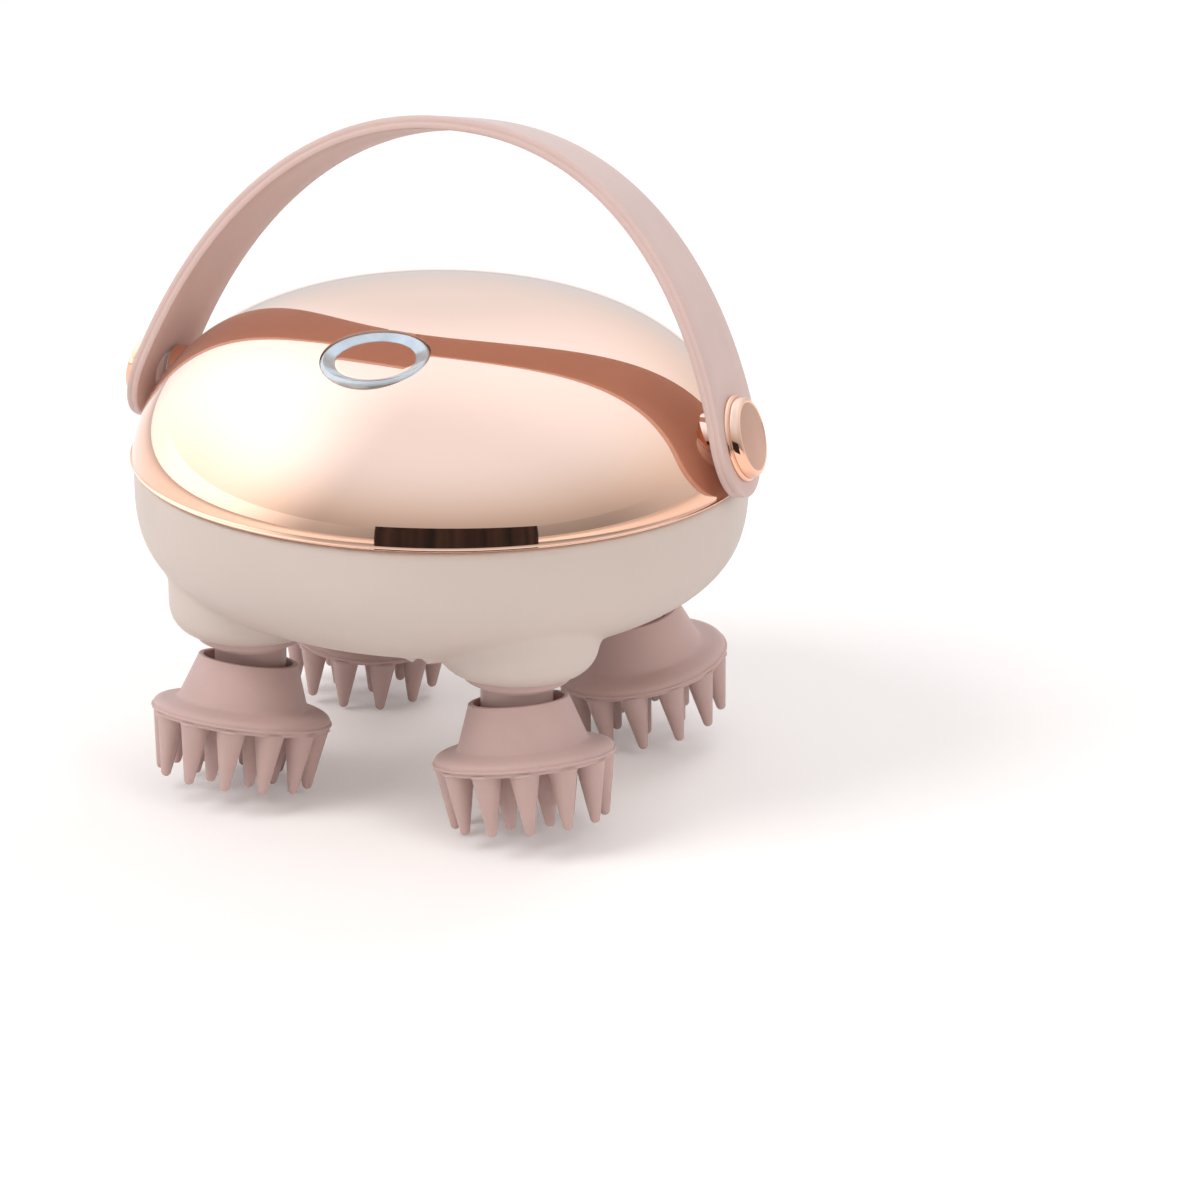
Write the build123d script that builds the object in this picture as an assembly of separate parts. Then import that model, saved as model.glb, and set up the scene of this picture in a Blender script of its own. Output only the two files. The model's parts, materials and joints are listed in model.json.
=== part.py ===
from build123d import *
import math
import os

# Electric scalp massager: a domed body with four kneading claw heads and a carrying strap.
# Frame: +Z up, +X towards one strap pivot, -Y towards the power button. The origin lies under
# the middle of the rim, on the surface that the teeth stand on. All lengths are millimetres.

# ---- Claw heads ------------------------------------------------------------------------------
crank_tilt = 12.0              # lean of each crank pin from the spindle, degrees
crank_to_rim = 12.7            # from the crank point down the pin to the plate's rim
plate_radius = 16.0
plate_skirt = 1.2              # edge of the plate below its rim
rim_lip = 0.4                  # how far the rim stands out of the plate
collar_height = 9.8            # collar mouth above the rim
collar_mouth_radius = 8.85
collar_base_radius = 11.4
collar_base_height = 2.4       # collar foot above the rim
collar_wall = 1.0
tooth_length = 10.6
tooth_root_radius = 2.25
tooth_tip_radius = 0.7
outer_teeth = 14
outer_ring_radius = 13.2
inner_teeth = 7
inner_ring_radius = 7.0
hub_mouth = 7.2                # hub mouth below the crank point, along the pin
hub_gap = 0.25                 # between the stiff hub and the collar round it
hub_groove_low = 2.6           # ends of the hub's grip groove below its mouth
hub_groove_high = 1.6

# ---- Spindles --------------------------------------------------------------------------------
stub_radius = 6.3
stub_below_crank = 5.0
crank_pin_radius = 3.0
crank_pin_length = 12.2
journal_radius = 4.0
gear_seat_radius = 3.2
top_journal_radius = 2.5
drive_flat = 0.6               # depth of the flat that turns a gear or a head hub
running_gap = 0.05             # radial clearance of a turning shaft
fit_gap = 0.02                 # radial clearance of a fixed fit
wanted_leans = (33.0, 8.0, 0.0, -8.0)   # lean past straight outward: FL, FR, BR, BL, degrees

# ---- Body shells -----------------------------------------------------------------------------
rim_radius = 55.0
rim_lip_height = 0.8
rim_overhang = 0.4             # how far the lip stands out of the dome
rim_over_base = 0.75           # how far the lip stands out of the base
dome_radius = rim_radius - rim_overhang
dome_height = 28.5
dome_fullness = 3.0            # exponent across the dome's profile
dome_shoulder = 0.585          # exponent up the dome's profile
dome_wall = 2.0
base_radius = rim_radius - rim_over_base
base_depth = 25.9              # from the seam down to the flat underside
base_curve_depth = 30.25       # depth at which the base's profile would close
base_fullness = 3.81
base_shoulder = 0.5587
base_wall = 2.2
seam_gap = 0.3
tongue_wall = 1.2
tongue_height = 2.6
gasket_width = 1.0
gasket_height = 1.4
gasket_squeeze = 0.05
profile_steps = 9              # points along each shell profile
closing_edge_angle = 70.0      # where a turned shell's closing edge lies, degrees

# ---- Spindle bosses under the base -----------------------------------------------------------
boss_radius = 14.3
boss_drop = 2.5                # boss end below the flat underside
boss_foot_radius = 8.6
boss_round_height = 6.2
boss_bore_radius = 7.0
boss_above_crank = 2.15        # boss end above the crank point
pocket_gap = 0.5               # round each spindle gear
retainer_radius = 7.4
retainer_flange = 0.85
retainer_spigot = 1.0
seal_height = 1.2
bush_flange_radius = 8.6
bush_flange = 0.8

# ---- Gear train ------------------------------------------------------------------------------
pressure_angle = 25.0
addendum = 0.9                 # in modules
dedendum = 1.2                 # in modules
tooth_thinning = 0.05          # in modules, off each flank
sun_teeth = 50
spindle_teeth = 22
sun_module = 1.0
sun_face = 4.0
sun_wheel_teeth = 56
first_pinion_teeth = 12
first_module = 0.8
first_face = 3.0
first_wheel_teeth = 48
second_pinion_teeth = 12
second_module = 0.6
second_face = 2.0
second_wheel_teeth = 50
motor_pinion_teeth = 10
third_module = 0.5
third_face = 1.8
first_axle_angle = 45.0
layer_gap = 0.4                # between gears that pass over each other
gear_web = 1.2
sun_phase = 45.0               # angle of one tooth of each gear, degrees
sun_wheel_phase = 0.0
first_wheel_phase = 0.0
second_wheel_phase = 0.0
bush_to_sun = 0.1              # free heights between the layers of the train
sun_to_plate = 0.7
plate_to_wheel = 0.8
pinion_to_cover = 0.7
sun_holes = 6
sun_hole_radius = 5.2
axle_radius = 2.0
first_axle_radius = 1.25
second_axle_radius = 1.0

# ---- Gearbox plates and screws ---------------------------------------------------------------
plate_thickness = 2.2
gear_plate_radius = 42.0
cover_thickness = 1.6
cover_radius = 34.0
pillar_radius = 2.6
pillar_circle = 30.5
gearbox_screw_radius = 1.0
tower_radius = 3.2
tower_circle = 39.0
tower_angle = 20.0
tower_below_seam = 0.9
post_gap = 0.2                 # between a tower and the dome's post over it
tower_hole_gap = 0.3           # round a tower where it passes the gear plate
case_screw_radius = 1.3
case_screw_length = 12.0
case_head_radius = 2.3
case_head_height = 1.6
case_head_gap = 0.3            # round each case screw's head
tower_ledge = 6.3              # thickness of a tower over its screw head
screw_head_radius = 1.9
screw_head_height = 1.2

# ---- Motor and battery -----------------------------------------------------------------------
motor_radius = 12.2
motor_height = 17.0
motor_boss_radius = 3.0
motor_boss_height = 1.4
motor_shaft_radius = 0.75
motor_cap_radius = 10.6
motor_cap_height = 1.2
motor_screw_circle = 8.0
cell_radius = 9.1
cell_length = 65.0
cell_gap = 1.2                 # between the cell and the motor
cell_lift = 0.9                # cell above the gearbox cover
cradle_width = 3.0
cradle_height = 5.0
cradle_reach = 18.0

# ---- Power button ----------------------------------------------------------------------------
button_offset = 28.7           # from the dome's axis towards -Y
button_tilt = 12.0
ring_radius = 9.5
ring_bore = 7.05
ring_bevel = 1.0
ring_sink = 0.45               # ring face below the tangent plane
ring_depth = 5.5
ring_flange_radius = 11.4
ring_flange = 1.5
seat_gap = 0.12
seat_collar_radius = 12.6
seat_collar_depth = 2.6
button_radius = 6.9
button_sink = 1.0
button_cap = 1.5
button_flange_radius = 8.4
button_flange = 1.2
button_travel = 0.5
stem_radius = 1.5
stem_length = 1.6
switch_side = 6.0
switch_height = 3.5
plunger_radius = 1.7
plunger_proud = 1.2
board_radius = 13.4
board_thickness = 1.2
board_post_radius = 1.9
board_post_circle = 11.6
board_screw_radius = 0.8

# ---- Strap and pivots ------------------------------------------------------------------------
pivot_above_seam = 9.9
strap_stand_off = 5.4          # strap's middle outside the dome, where its curve is widest
strap_half_span = dome_radius + strap_stand_off
strap_rise = 86.5
strap_centre_drop = 37.9       # centre of the strap's curve below the pivots
strap_exponent = 2.14
strap_thickness = 2.35
strap_foot_radius = 9.8
strap_top_half_width = 8.2
strap_lean = 13.9
strap_boss_radius = 4.8
cap_radius = 8.2
cap_flange = 0.8
cap_body_radius = 7.7
cap_face_radius = 6.8
cap_height = 3.4
cap_seat_depth = 0.35
pivot_pin_radius = 2.0
pivot_pin_in_cap = 1.6
pivot_face_inset = 2.4         # flat seat of each pivot inside the dome's radius
pivot_face = dome_radius - pivot_face_inset
strap_face_gap = 0.1           # between the strap's boss and its washer
cap_seat_gap = 0.15            # round each cap in its seat
pivot_washer = 0.45
pivot_bush_length = 7.7
pivot_bush_wall = 1.5
pivot_land_radius = 5.4        # raised land round each pivot
pivot_land_gap = 0.6           # between that land's edge and the skin cut back round it
clip_thickness = 0.6
clip_radius = 3.6
groove_depth = 0.5

# ---- Charging port ---------------------------------------------------------------------------
port_drop = 9.6                # port centre below the seam
socket_width = 8.9
socket_height = 3.2
socket_depth = 7.2
socket_wall = 0.35
charge_board_width = 14.0
charge_board_length = 7.4
charge_board_thickness = 1.0
charge_board_gap = 0.3
shelf_width = 1.6
plug_width = 13.0
plug_height = 6.6
plug_thickness = 1.2
plug_tongue_depth = 3.0
plug_gap = 0.1
plug_sink = 0.35               # plug face below the shell's skin

# ---- Places worked out from the sizes above ---------------------------------------------------
tilt = math.radians(crank_tilt)
tooth_reach = crank_to_rim + plate_skirt + tooth_length
crank_z = tooth_reach * math.cos(tilt) + (outer_ring_radius + tooth_tip_radius) * math.sin(tilt)
boss_z = crank_z + boss_above_crank
base_z = boss_z + boss_drop
floor_z = base_z + base_wall
seam_z = base_z + base_depth
dome_z = seam_z + dome_height

sun_radius = sun_module * sun_teeth / 2
spindle_circle = sun_radius + sun_module * spindle_teeth / 2
spindle_offset = spindle_circle / math.sqrt(2)
spindle_tip_radius = sun_module * (spindle_teeth / 2 + addendum)
first_distance = first_module * (sun_wheel_teeth + first_pinion_teeth) / 2
second_distance = second_module * (first_wheel_teeth + second_pinion_teeth) / 2
third_distance = third_module * (second_wheel_teeth + motor_pinion_teeth) / 2

bush_z = floor_z - base_wall
sun_z = floor_z + bush_flange + bush_to_sun
sun_top = sun_z + sun_face
gear_plate_z = sun_top + sun_to_plate
gear_plate_top = gear_plate_z + plate_thickness
first_z = gear_plate_top + plate_to_wheel
second_z = first_z + first_face + layer_gap
third_z = second_z + second_face + layer_gap
cover_z = third_z + third_face + pinion_to_cover
cover_top = cover_z + cover_thickness
motor_top = cover_top + motor_height
cell_y = motor_radius + cell_gap + cell_radius
cell_z = cover_top + cell_lift + cell_radius
pivot_z = seam_z + pivot_above_seam
port_z = seam_z - port_drop
tower_top = seam_z - tower_below_seam
ledge_z = tower_top - tower_ledge

corner_signs = {"front_left": (-1, -1), "front_right": (1, -1), "back_right": (1, 1), "back_left": (-1, 1)}
tower_places = [
    (
        tower_circle * math.cos(math.radians(tower_angle + 90 * k)),
        tower_circle * math.sin(math.radians(tower_angle + 90 * k)),
    )
    for k in range(4)
]
pillar_places = [(pillar_circle, 0), (0, pillar_circle), (-pillar_circle, 0), (0, -pillar_circle)]


def polar(radius, angle):
    """A point at a radius and an angle in degrees."""
    return radius * math.cos(math.radians(angle)), radius * math.sin(math.radians(angle))


first_axle = polar(first_distance, first_axle_angle)
swing = math.degrees(
    math.acos(
        (third_distance**2 + first_distance**2 - second_distance**2)
        / (2 * third_distance * first_distance)
    )
)
second_axle = polar(third_distance, first_axle_angle - swing)


# ---- General shapes --------------------------------------------------------------------------
def disc(radius, low, high, place=(0, 0)):
    """An upright cylinder between two heights."""
    return Pos(place[0], place[1], (low + high) / 2) * Cylinder(radius, high - low)


def tube(outer, inner, low, high, place=(0, 0)):
    """An upright tube between two heights."""
    return disc(outer, low, high, place) - disc(inner, low - 1, high + 1, place)


def cross_pin(radius, start, end, height):
    """A cylinder along X at y = 0."""
    return Pos((start + end) / 2, 0, height) * Rot(0, 90, 0) * Cylinder(radius, end - start)


def turned(outline):
    """A solid of revolution about Z from points and edges in the XZ plane."""
    return revolve(make_face(outline), Axis.Z)


def turned_shell(outline):
    """A solid of revolution whose closing edge lies clear of bosses, posts and ports."""
    return Rot(0, 0, closing_edge_angle) * turned(outline)


def polygon(points):
    """A closed outline of straight lines in the XZ plane."""
    return Polyline(*[(x, 0, z) for x, z in points], close=True)


def box_between(low, high):
    """A box from its lowest to its highest corner."""
    size = [b - a for a, b in zip(low, high)]
    middle = [(a + b) / 2 for a, b in zip(low, high)]
    return Pos(*middle) * Box(*size)


def mirrored(shape):
    """The same shape on the other side of the YZ plane."""
    return mirror(shape, about=Plane.YZ)


def both_sides(shape):
    """A pair of separate solids, one on each side."""
    return Compound([*shape.solids(), *mirrored(shape).solids()])


def group(shapes):
    """Separate solids that share one node."""
    return Compound([solid for shape in shapes for solid in shape.solids()])


# ---- Gears -----------------------------------------------------------------------------------
def involute(angle):
    return math.tan(angle) - angle


def gear(teeth, module, low, face, phase=0.0):
    """A spur gear blank without a bore, one tooth centred on the phase angle in degrees."""
    pitch = module * teeth / 2
    pressure = math.radians(pressure_angle)
    ground = pitch * math.cos(pressure)
    half_pitch_angle = math.pi / (2 * teeth) - tooth_thinning * module / pitch
    radii = (pitch - dedendum * module, pitch, pitch + addendum * module)
    halves = []
    for radius in radii:
        at_radius = math.acos(min(1, ground / radius))
        halves.append(half_pitch_angle + involute(pressure) - involute(at_radius))
    points = []
    for k in range(teeth):
        middle = math.radians(phase) + 2 * math.pi * k / teeth
        flank = list(zip(radii, halves))
        for radius, half in flank:
            points.append((radius * math.cos(middle - half), radius * math.sin(middle - half)))
        for radius, half in reversed(flank):
            points.append((radius * math.cos(middle + half), radius * math.sin(middle + half)))
    outline = Polyline(*points, close=True)
    return Pos(0, 0, low) * extrude(make_face(outline), face)


def mesh_phase(teeth, phase, direction, other_teeth):
    """Phase of a gear that meshes with a first one, which sees it in the given direction."""
    step = 360 / teeth
    offset = ((direction - phase) / step) % 1
    return direction + 180 - 360 / other_teeth * (0.5 - offset)


def flat_shaft(radius, low, high, gap=0.0):
    """A round shaft with one drive flat towards +X, or its bore with a gap."""
    shaft = disc(radius + gap, low, high)
    flat_x = radius - drive_flat + gap
    return shaft - box_between((flat_x, -radius - 1, low - 1), (radius + 1, radius + 1, high + 1))


# ---- Shell profiles --------------------------------------------------------------------------
def dome_surface(radius, height):
    """Solid under a dome with this radius and height above the seam."""
    points = []
    for k in range(profile_steps + 1):
        across = math.sin(math.pi / 2 * k / profile_steps)
        up = (1 - across**dome_fullness) ** dome_shoulder
        points.append((radius * across, 0, seam_z + height * up))
    edge = Spline(*points, tangents=[(1, 0, 0), (0, 0, -1)])
    floor = Line(points[-1], (0, 0, seam_z))
    axis = Line((0, 0, seam_z), points[0])
    return turned_shell(edge + floor + axis)


def base_reach(radius, depth, down):
    """Radius of the bowl's profile at a depth under the seam."""
    return radius * (1 - (down / depth) ** base_fullness) ** base_shoulder


def base_surface(radius, depth, bottom):
    """Solid of the bowl under the seam, cut flat at the bottom."""
    flat = seam_z - bottom
    points = []
    for k in range(profile_steps + 1):
        down = flat * math.sin(math.pi / 2 * k / profile_steps)
        points.append((base_reach(radius, depth, down), 0, seam_z - down))
    edge = Spline(*points)
    flat_end = Line(points[-1], (0, 0, bottom))
    axis = Line((0, 0, bottom), (0, 0, seam_z))
    top = Line((0, 0, seam_z), points[0])
    return turned_shell(edge + flat_end + axis + top)


def dome_rise(radius):
    """Height of the dome's skin above the seam at a radius."""
    return dome_height * (1 - (radius / dome_radius) ** dome_fullness) ** dome_shoulder


# ---- Bodies of the case ----------------------------------------------------------------------
def boss_outside():
    """One spindle boss, full, about the Z axis: upright side, rounded end."""
    top = boss_z + base_depth / 2
    shoulder = (boss_radius, 0, boss_z + boss_round_height)
    foot = (boss_foot_radius, 0, boss_z)
    side = Line((boss_radius, 0, top), shoulder)
    rounding = Spline(shoulder, foot, tangents=[(0, 0, -1), (-1, 0, -0.12)])
    end = Line(foot, (0, 0, boss_z))
    axis = Line((0, 0, boss_z), (0, 0, top))
    lid = Line((0, 0, top), (boss_radius, 0, top))
    return turned(side + rounding + end + axis + lid)


def port_opening(width, height, depth_from, depth_to):
    """A rounded slot along Y at the port, from one depth to another."""
    outline = RectangleRounded(width, height, min(width, height) / 2 - 0.05)
    plane = Plane(origin=(0, depth_from, port_z), x_dir=(1, 0, 0), z_dir=(0, 1, 0))
    return extrude(plane * outline, depth_to - depth_from)


def make_base_shell():
    outside = base_surface(base_radius, base_curve_depth, base_z)
    inside = base_surface(base_radius - base_wall, base_curve_depth - base_wall, floor_z)
    shell = outside
    for sx, sy in corner_signs.values():
        shell += Pos(sx * spindle_offset, sy * spindle_offset, 0) * boss_outside()
    shell -= inside
    pocket_radius = spindle_tip_radius + pocket_gap
    for sx, sy in corner_signs.values():
        place = (sx * spindle_offset, sy * spindle_offset)
        shell -= disc(pocket_radius, floor_z, seam_z, place)
        shell -= disc(boss_bore_radius, boss_z - 1, floor_z + 1, place)
    shell -= disc(rim_radius, seam_z - seam_gap, seam_z + 1)
    tongue_radius = dome_radius - dome_wall - gasket_width - 2 * gasket_squeeze
    tongue_low = seam_z - 2 * tongue_height
    shell += tube(tongue_radius, tongue_radius - tongue_wall, tongue_low, seam_z + tongue_height)
    shell += tube(base_radius - 1, tongue_radius - tongue_wall, tongue_low, seam_z - seam_gap)
    for place in tower_places:
        tower = disc(tower_radius, base_z + base_wall / 2, tower_top, place)
        shell += tower & disc(rim_radius, base_z, seam_z)
    for place in pillar_places:
        shell += disc(pillar_radius, floor_z - 1, gear_plate_z, place)
        shell -= disc(gearbox_screw_radius + fit_gap, floor_z, gear_plate_z + 1, place)
    for place in tower_places:
        shell -= disc(case_head_radius + case_head_gap, base_z - 5, ledge_z, place)
        shell -= disc(case_screw_radius + fit_gap, ledge_z - 1, tower_top + 1, place)
    shell += disc(2 * axle_radius, floor_z - 1, sun_z - bush_to_sun)
    shell -= disc(axle_radius + fit_gap, floor_z - base_wall / 2, sun_z + 1)
    wall_in = base_radius - base_wall
    board_low = port_z - socket_height / 2 - charge_board_thickness
    for side in (-1, 1):
        middle = side * (charge_board_width / 2 - shelf_width)
        low = (middle - shelf_width / 2, wall_in - charge_board_length, board_low - 3)
        high = (middle + shelf_width / 2, wall_in + 1, board_low)
        shell += box_between(low, high)
    shell -= port_opening(socket_width + 0.6, socket_height + 0.6, wall_in - 2, base_radius + 2)
    recess_y = port_recess_y()
    shell -= port_opening(plug_width + 2 * plug_gap, plug_height + 2 * plug_gap, recess_y, base_radius + 2)
    return shell


def port_recess_y():
    """Depth of the flat that the dust plug sits on."""
    return base_reach(base_radius, base_curve_depth, port_drop) - plug_thickness - plug_sink


def make_top_shell():
    outside = dome_surface(dome_radius, dome_height)
    inside = dome_surface(dome_radius - dome_wall, dome_height - dome_wall)
    full = outside + disc(rim_radius, seam_z, seam_z + rim_lip_height)
    shell = full - inside
    post_low = tower_top + post_gap
    room = outside + disc(rim_radius, post_low - 1, seam_z + 1)
    for place in tower_places:
        shell += disc(tower_radius, post_low, dome_z, place) & room
        shell -= disc(case_screw_radius + fit_gap, post_low - 1, ledge_z + case_screw_length + 1, place)
    bush_radius = pivot_pin_radius + running_gap + pivot_bush_wall
    boss_in = pivot_face - pivot_bush_length
    pivot_boss = cross_pin(pivot_land_radius, boss_in, pivot_face, pivot_z)
    land = cross_pin(pivot_land_radius + pivot_land_gap, pivot_face, rim_radius + 5, pivot_z)
    bore = cross_pin(bush_radius + fit_gap, boss_in - 1, rim_radius + 5, pivot_z)
    shell += pivot_boss
    shell += mirrored(pivot_boss)
    shell -= land
    shell -= mirrored(land)
    shell -= bore
    shell -= mirrored(bore)
    seat = button_place()
    collar_top = -ring_sink - 2.4
    collar_low = -ring_sink - ring_depth + seat_gap
    shell += seat * disc(seat_collar_radius, collar_low, collar_top)
    for x, y in board_post_places():
        post = disc(board_post_radius, board_top(), -2.0, (x, y))
        shell += (seat * post) & outside
        shell -= seat * disc(board_screw_radius + fit_gap, board_top() - 1, board_top() + 4, (x, y))
    shell -= seat * disc(ring_radius + seat_gap, -30, 10)
    return shell


def make_seam_gasket():
    outer = dome_radius - dome_wall - gasket_squeeze
    low = seam_z - seam_gap
    return tube(outer, outer - gasket_width, low, low + gasket_height)


# ---- Gear train ------------------------------------------------------------------------------
def spindle_place(corner):
    """Location of one spindle: its frame has +X along the lean of the crank."""
    names = list(corner_signs)
    sx, sy = corner_signs[corner]
    outward = math.degrees(math.atan2(sy, sx))
    step = 360 / spindle_teeth
    first = mesh_phase(sun_teeth, sun_phase, outward, spindle_teeth) + step / 2
    wanted = outward + wanted_leans[names.index(corner)]
    lean = first + step * round((wanted - first) / step)
    return Pos(sx * spindle_offset, sy * spindle_offset, 0) * Rot(0, 0, lean)


def crank_frame():
    """Frame at the crank point whose -Z runs down the tilted pin."""
    return Pos(0, 0, crank_z) * Rot(0, -crank_tilt, 0)


def make_spindle():
    seal_top = bush_z - 0.1
    shaft = disc(stub_radius, crank_z - stub_below_crank, seal_top)
    shaft += disc(journal_radius, seal_top, sun_z)
    shaft += flat_shaft(gear_seat_radius, sun_z, sun_top)
    shaft += disc(top_journal_radius, sun_top, gear_plate_top + 0.3)
    pin = flat_shaft(crank_pin_radius, -crank_pin_length, -stub_below_crank / 2)
    groove_low = 1.2 - crank_pin_length
    pin -= tube(crank_pin_radius + 1, crank_pin_radius - 0.5, groove_low, groove_low + 0.8)
    return shaft + crank_frame() * pin


def make_spindle_gear():
    blank = gear(spindle_teeth, sun_module, sun_z, sun_face, 180 / spindle_teeth)
    rim = spindle_tip_radius - (addendum + dedendum + 1.2) * sun_module
    hub = gear_seat_radius + 2.2
    recess = tube(rim, hub, sun_z + (sun_face + gear_web) / 2, sun_top + 1)
    blank -= recess
    blank -= tube(rim, hub, sun_z - 1, sun_z + (sun_face - gear_web) / 2)
    return blank - flat_shaft(gear_seat_radius, sun_z - 1, sun_top + 1, fit_gap)


def make_sun_gear():
    blank = gear(sun_teeth, sun_module, sun_z, sun_face, sun_phase)
    hub = 2.25 * axle_radius
    rim = sun_radius - (dedendum + 2.0) * sun_module
    middle = (rim + hub) / 2
    for k in range(sun_holes):
        x, y = polar(middle, 360 * k / sun_holes)
        blank -= disc(sun_hole_radius, sun_z - 1, sun_top + 1, (x, y))
    blank += disc(hub, sun_top, first_z)
    blank += flat_shaft(hub, first_z - 0.5, first_z + first_face)
    return blank - disc(axle_radius + running_gap, sun_z - 1, second_z)


def make_sun_wheel():
    blank = gear(sun_wheel_teeth, first_module, first_z, first_face, sun_wheel_phase)
    hub = 2.25 * axle_radius
    rim = first_module * (sun_wheel_teeth / 2 - dedendum) - 1.8
    blank -= tube(rim, hub + 2.5, first_z + gear_web, second_z)
    return blank - flat_shaft(hub, first_z - 1, second_z, fit_gap)


def make_first_gear():
    pinion_phase = mesh_phase(sun_wheel_teeth, sun_wheel_phase, first_axle_angle, first_pinion_teeth)
    shape = gear(first_pinion_teeth, first_module, first_z, second_z - first_z, pinion_phase)
    shape += gear(first_wheel_teeth, second_module, second_z, second_face, first_wheel_phase)
    rim = second_module * (first_wheel_teeth / 2 - dedendum) - 1.4
    hub = first_module * (first_pinion_teeth / 2 + addendum) + 0.6
    shape -= tube(rim, hub, second_z + gear_web, third_z)
    shape -= disc(first_axle_radius + running_gap, first_z - 1, third_z)
    return Pos(*first_axle, 0) * shape


def make_second_gear():
    dx = second_axle[0] - first_axle[0]
    dy = second_axle[1] - first_axle[1]
    direction = math.degrees(math.atan2(dy, dx))
    pinion_phase = mesh_phase(first_wheel_teeth, first_wheel_phase, direction, second_pinion_teeth)
    shape = gear(second_pinion_teeth, second_module, second_z, third_z - second_z, pinion_phase)
    shape += gear(second_wheel_teeth, third_module, third_z, third_face, second_wheel_phase)
    shape -= disc(second_axle_radius + running_gap, second_z - 1, cover_z)
    return Pos(*second_axle, 0) * shape


def make_motor_pinion():
    direction = math.degrees(math.atan2(-second_axle[1], -second_axle[0]))
    phase = mesh_phase(second_wheel_teeth, second_wheel_phase, direction, motor_pinion_teeth)
    shape = gear(motor_pinion_teeth, third_module, third_z, third_face, phase)
    return shape - disc(motor_shaft_radius + fit_gap, third_z - 1, cover_z)


def make_motor_shaft():
    return disc(motor_shaft_radius, third_z, motor_top - 0.6)


# ---- Fixed pieces round the spindles ---------------------------------------------------------
def at_corners(shape):
    """The same solid at each of the four spindles."""
    places = [(sx * spindle_offset, sy * spindle_offset) for sx, sy in corner_signs.values()]
    return group([Pos(x, y, 0) * shape for x, y in places])


def make_seal_retainers():
    low = boss_z - retainer_flange
    bore = stub_radius + 2 * running_gap
    shape = tube(retainer_radius, bore, low, boss_z)
    shape += tube(boss_bore_radius - fit_gap, bore, boss_z, boss_z + retainer_spigot)
    return at_corners(shape)


def make_spindle_seals():
    low = boss_z + retainer_spigot + 0.05
    bore = stub_radius + running_gap
    return at_corners(tube(boss_bore_radius - fit_gap, bore, low, low + seal_height))


def make_spindle_bushes():
    bore = journal_radius + running_gap
    shape = tube(boss_bore_radius - fit_gap, bore, bush_z, floor_z)
    shape += tube(bush_flange_radius, bore, floor_z, floor_z + bush_flange)
    return at_corners(shape)


# ---- Gearbox frame ---------------------------------------------------------------------------
def make_gear_plate():
    shape = disc(gear_plate_radius, gear_plate_z, gear_plate_top)
    for sx, sy in corner_signs.values():
        place = (sx * spindle_offset, sy * spindle_offset)
        shape -= disc(top_journal_radius + running_gap, gear_plate_z - 1, gear_plate_top + 1, place)
    for place in tower_places:
        shape -= disc(tower_radius + tower_hole_gap, gear_plate_z - 1, gear_plate_top + 1, place)
    for place in pillar_places:
        shape += disc(pillar_radius, gear_plate_top, cover_z, place)
        shape -= disc(gearbox_screw_radius + fit_gap, gear_plate_z - 1, cover_z + 1, place)
    shape -= disc(2.25 * axle_radius + running_gap, gear_plate_z - 1, gear_plate_top + 1)
    shape += disc(2 * first_axle_radius, gear_plate_top, first_z - 0.1, first_axle)
    shape -= disc(first_axle_radius + fit_gap, gear_plate_z + 0.6, first_z, first_axle)
    return shape


def make_gearbox_cover():
    shape = disc(cover_radius, cover_z, cover_top)
    for side in (-1, 1):
        x = side * cradle_reach
        low = (x - cradle_width / 2, cell_y - cell_radius + 0.8, cover_top)
        high = (x + cradle_width / 2, cell_y + cell_radius * 0.7, cover_top + cradle_height)
        shape += box_between(low, high)
    shape -= Pos(0, cell_y, cell_z) * Rot(0, 90, 0) * Cylinder(cell_radius + 0.1, cell_length + 1)
    for place in pillar_places:
        shape -= disc(gearbox_screw_radius + 0.1, cover_z - 1, cover_top + 1, place)
    for side in (-1, 1):
        place = (0, side * motor_screw_circle)
        shape -= disc(gearbox_screw_radius + 0.1, cover_z - 1, cover_top + 1, place)
    shape -= disc(motor_boss_radius + 0.05, cover_z - 1, cover_top + 1)
    shape -= disc(first_axle_radius + fit_gap, cover_z - 1, cover_top + 1, first_axle)
    shape += disc(2 * second_axle_radius, cover_z - 0.5, cover_z, second_axle)
    shape -= disc(second_axle_radius + fit_gap, cover_z - 1, cover_top + 1, second_axle)
    return shape


def make_sun_axle():
    return disc(axle_radius, floor_z - base_wall / 2, third_z - 0.6)


def make_gear_axles():
    first = disc(first_axle_radius, gear_plate_z + 0.6, cover_top, first_axle)
    second = disc(second_axle_radius, second_z, cover_top, second_axle)
    return group([first, second])


def pan_screw(shank, length, head, height):
    """A screw along Z: the head above z = 0 with a cross recess, the shank below."""
    shape = disc(shank, -length, 0) + disc(head, 0, height)
    slot = box_between((-head * 0.55, -0.22, height * 0.45), (head * 0.55, 0.22, height + 1))
    return shape - slot - Rot(0, 0, 90) * slot


def make_gearbox_screws():
    length = cover_top - floor_z - 0.6
    screw = pan_screw(gearbox_screw_radius, length, screw_head_radius, screw_head_height)
    return group([Pos(x, y, cover_top) * screw for x, y in pillar_places])


def make_case_screws():
    screw = pan_screw(case_screw_radius, case_screw_length, case_head_radius, case_head_height)
    return group([Pos(x, y, ledge_z) * Rot(180, 0, 0) * screw for x, y in tower_places])


# ---- Motor and battery -----------------------------------------------------------------------
def make_motor():
    shape = disc(motor_radius, cover_top, motor_top)
    shape = fillet(shape.edges().group_by(Axis.Z)[-1], 1.2)
    shape += disc(motor_boss_radius, cover_top - motor_boss_height, cover_top)
    for side in (-1, 1):
        place = (0, side * motor_screw_circle)
        shape -= disc(gearbox_screw_radius + fit_gap, cover_top - 1, cover_top + 4, place)
    return shape - disc(motor_shaft_radius + running_gap, cover_top - 3, motor_top - 0.5)


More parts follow.
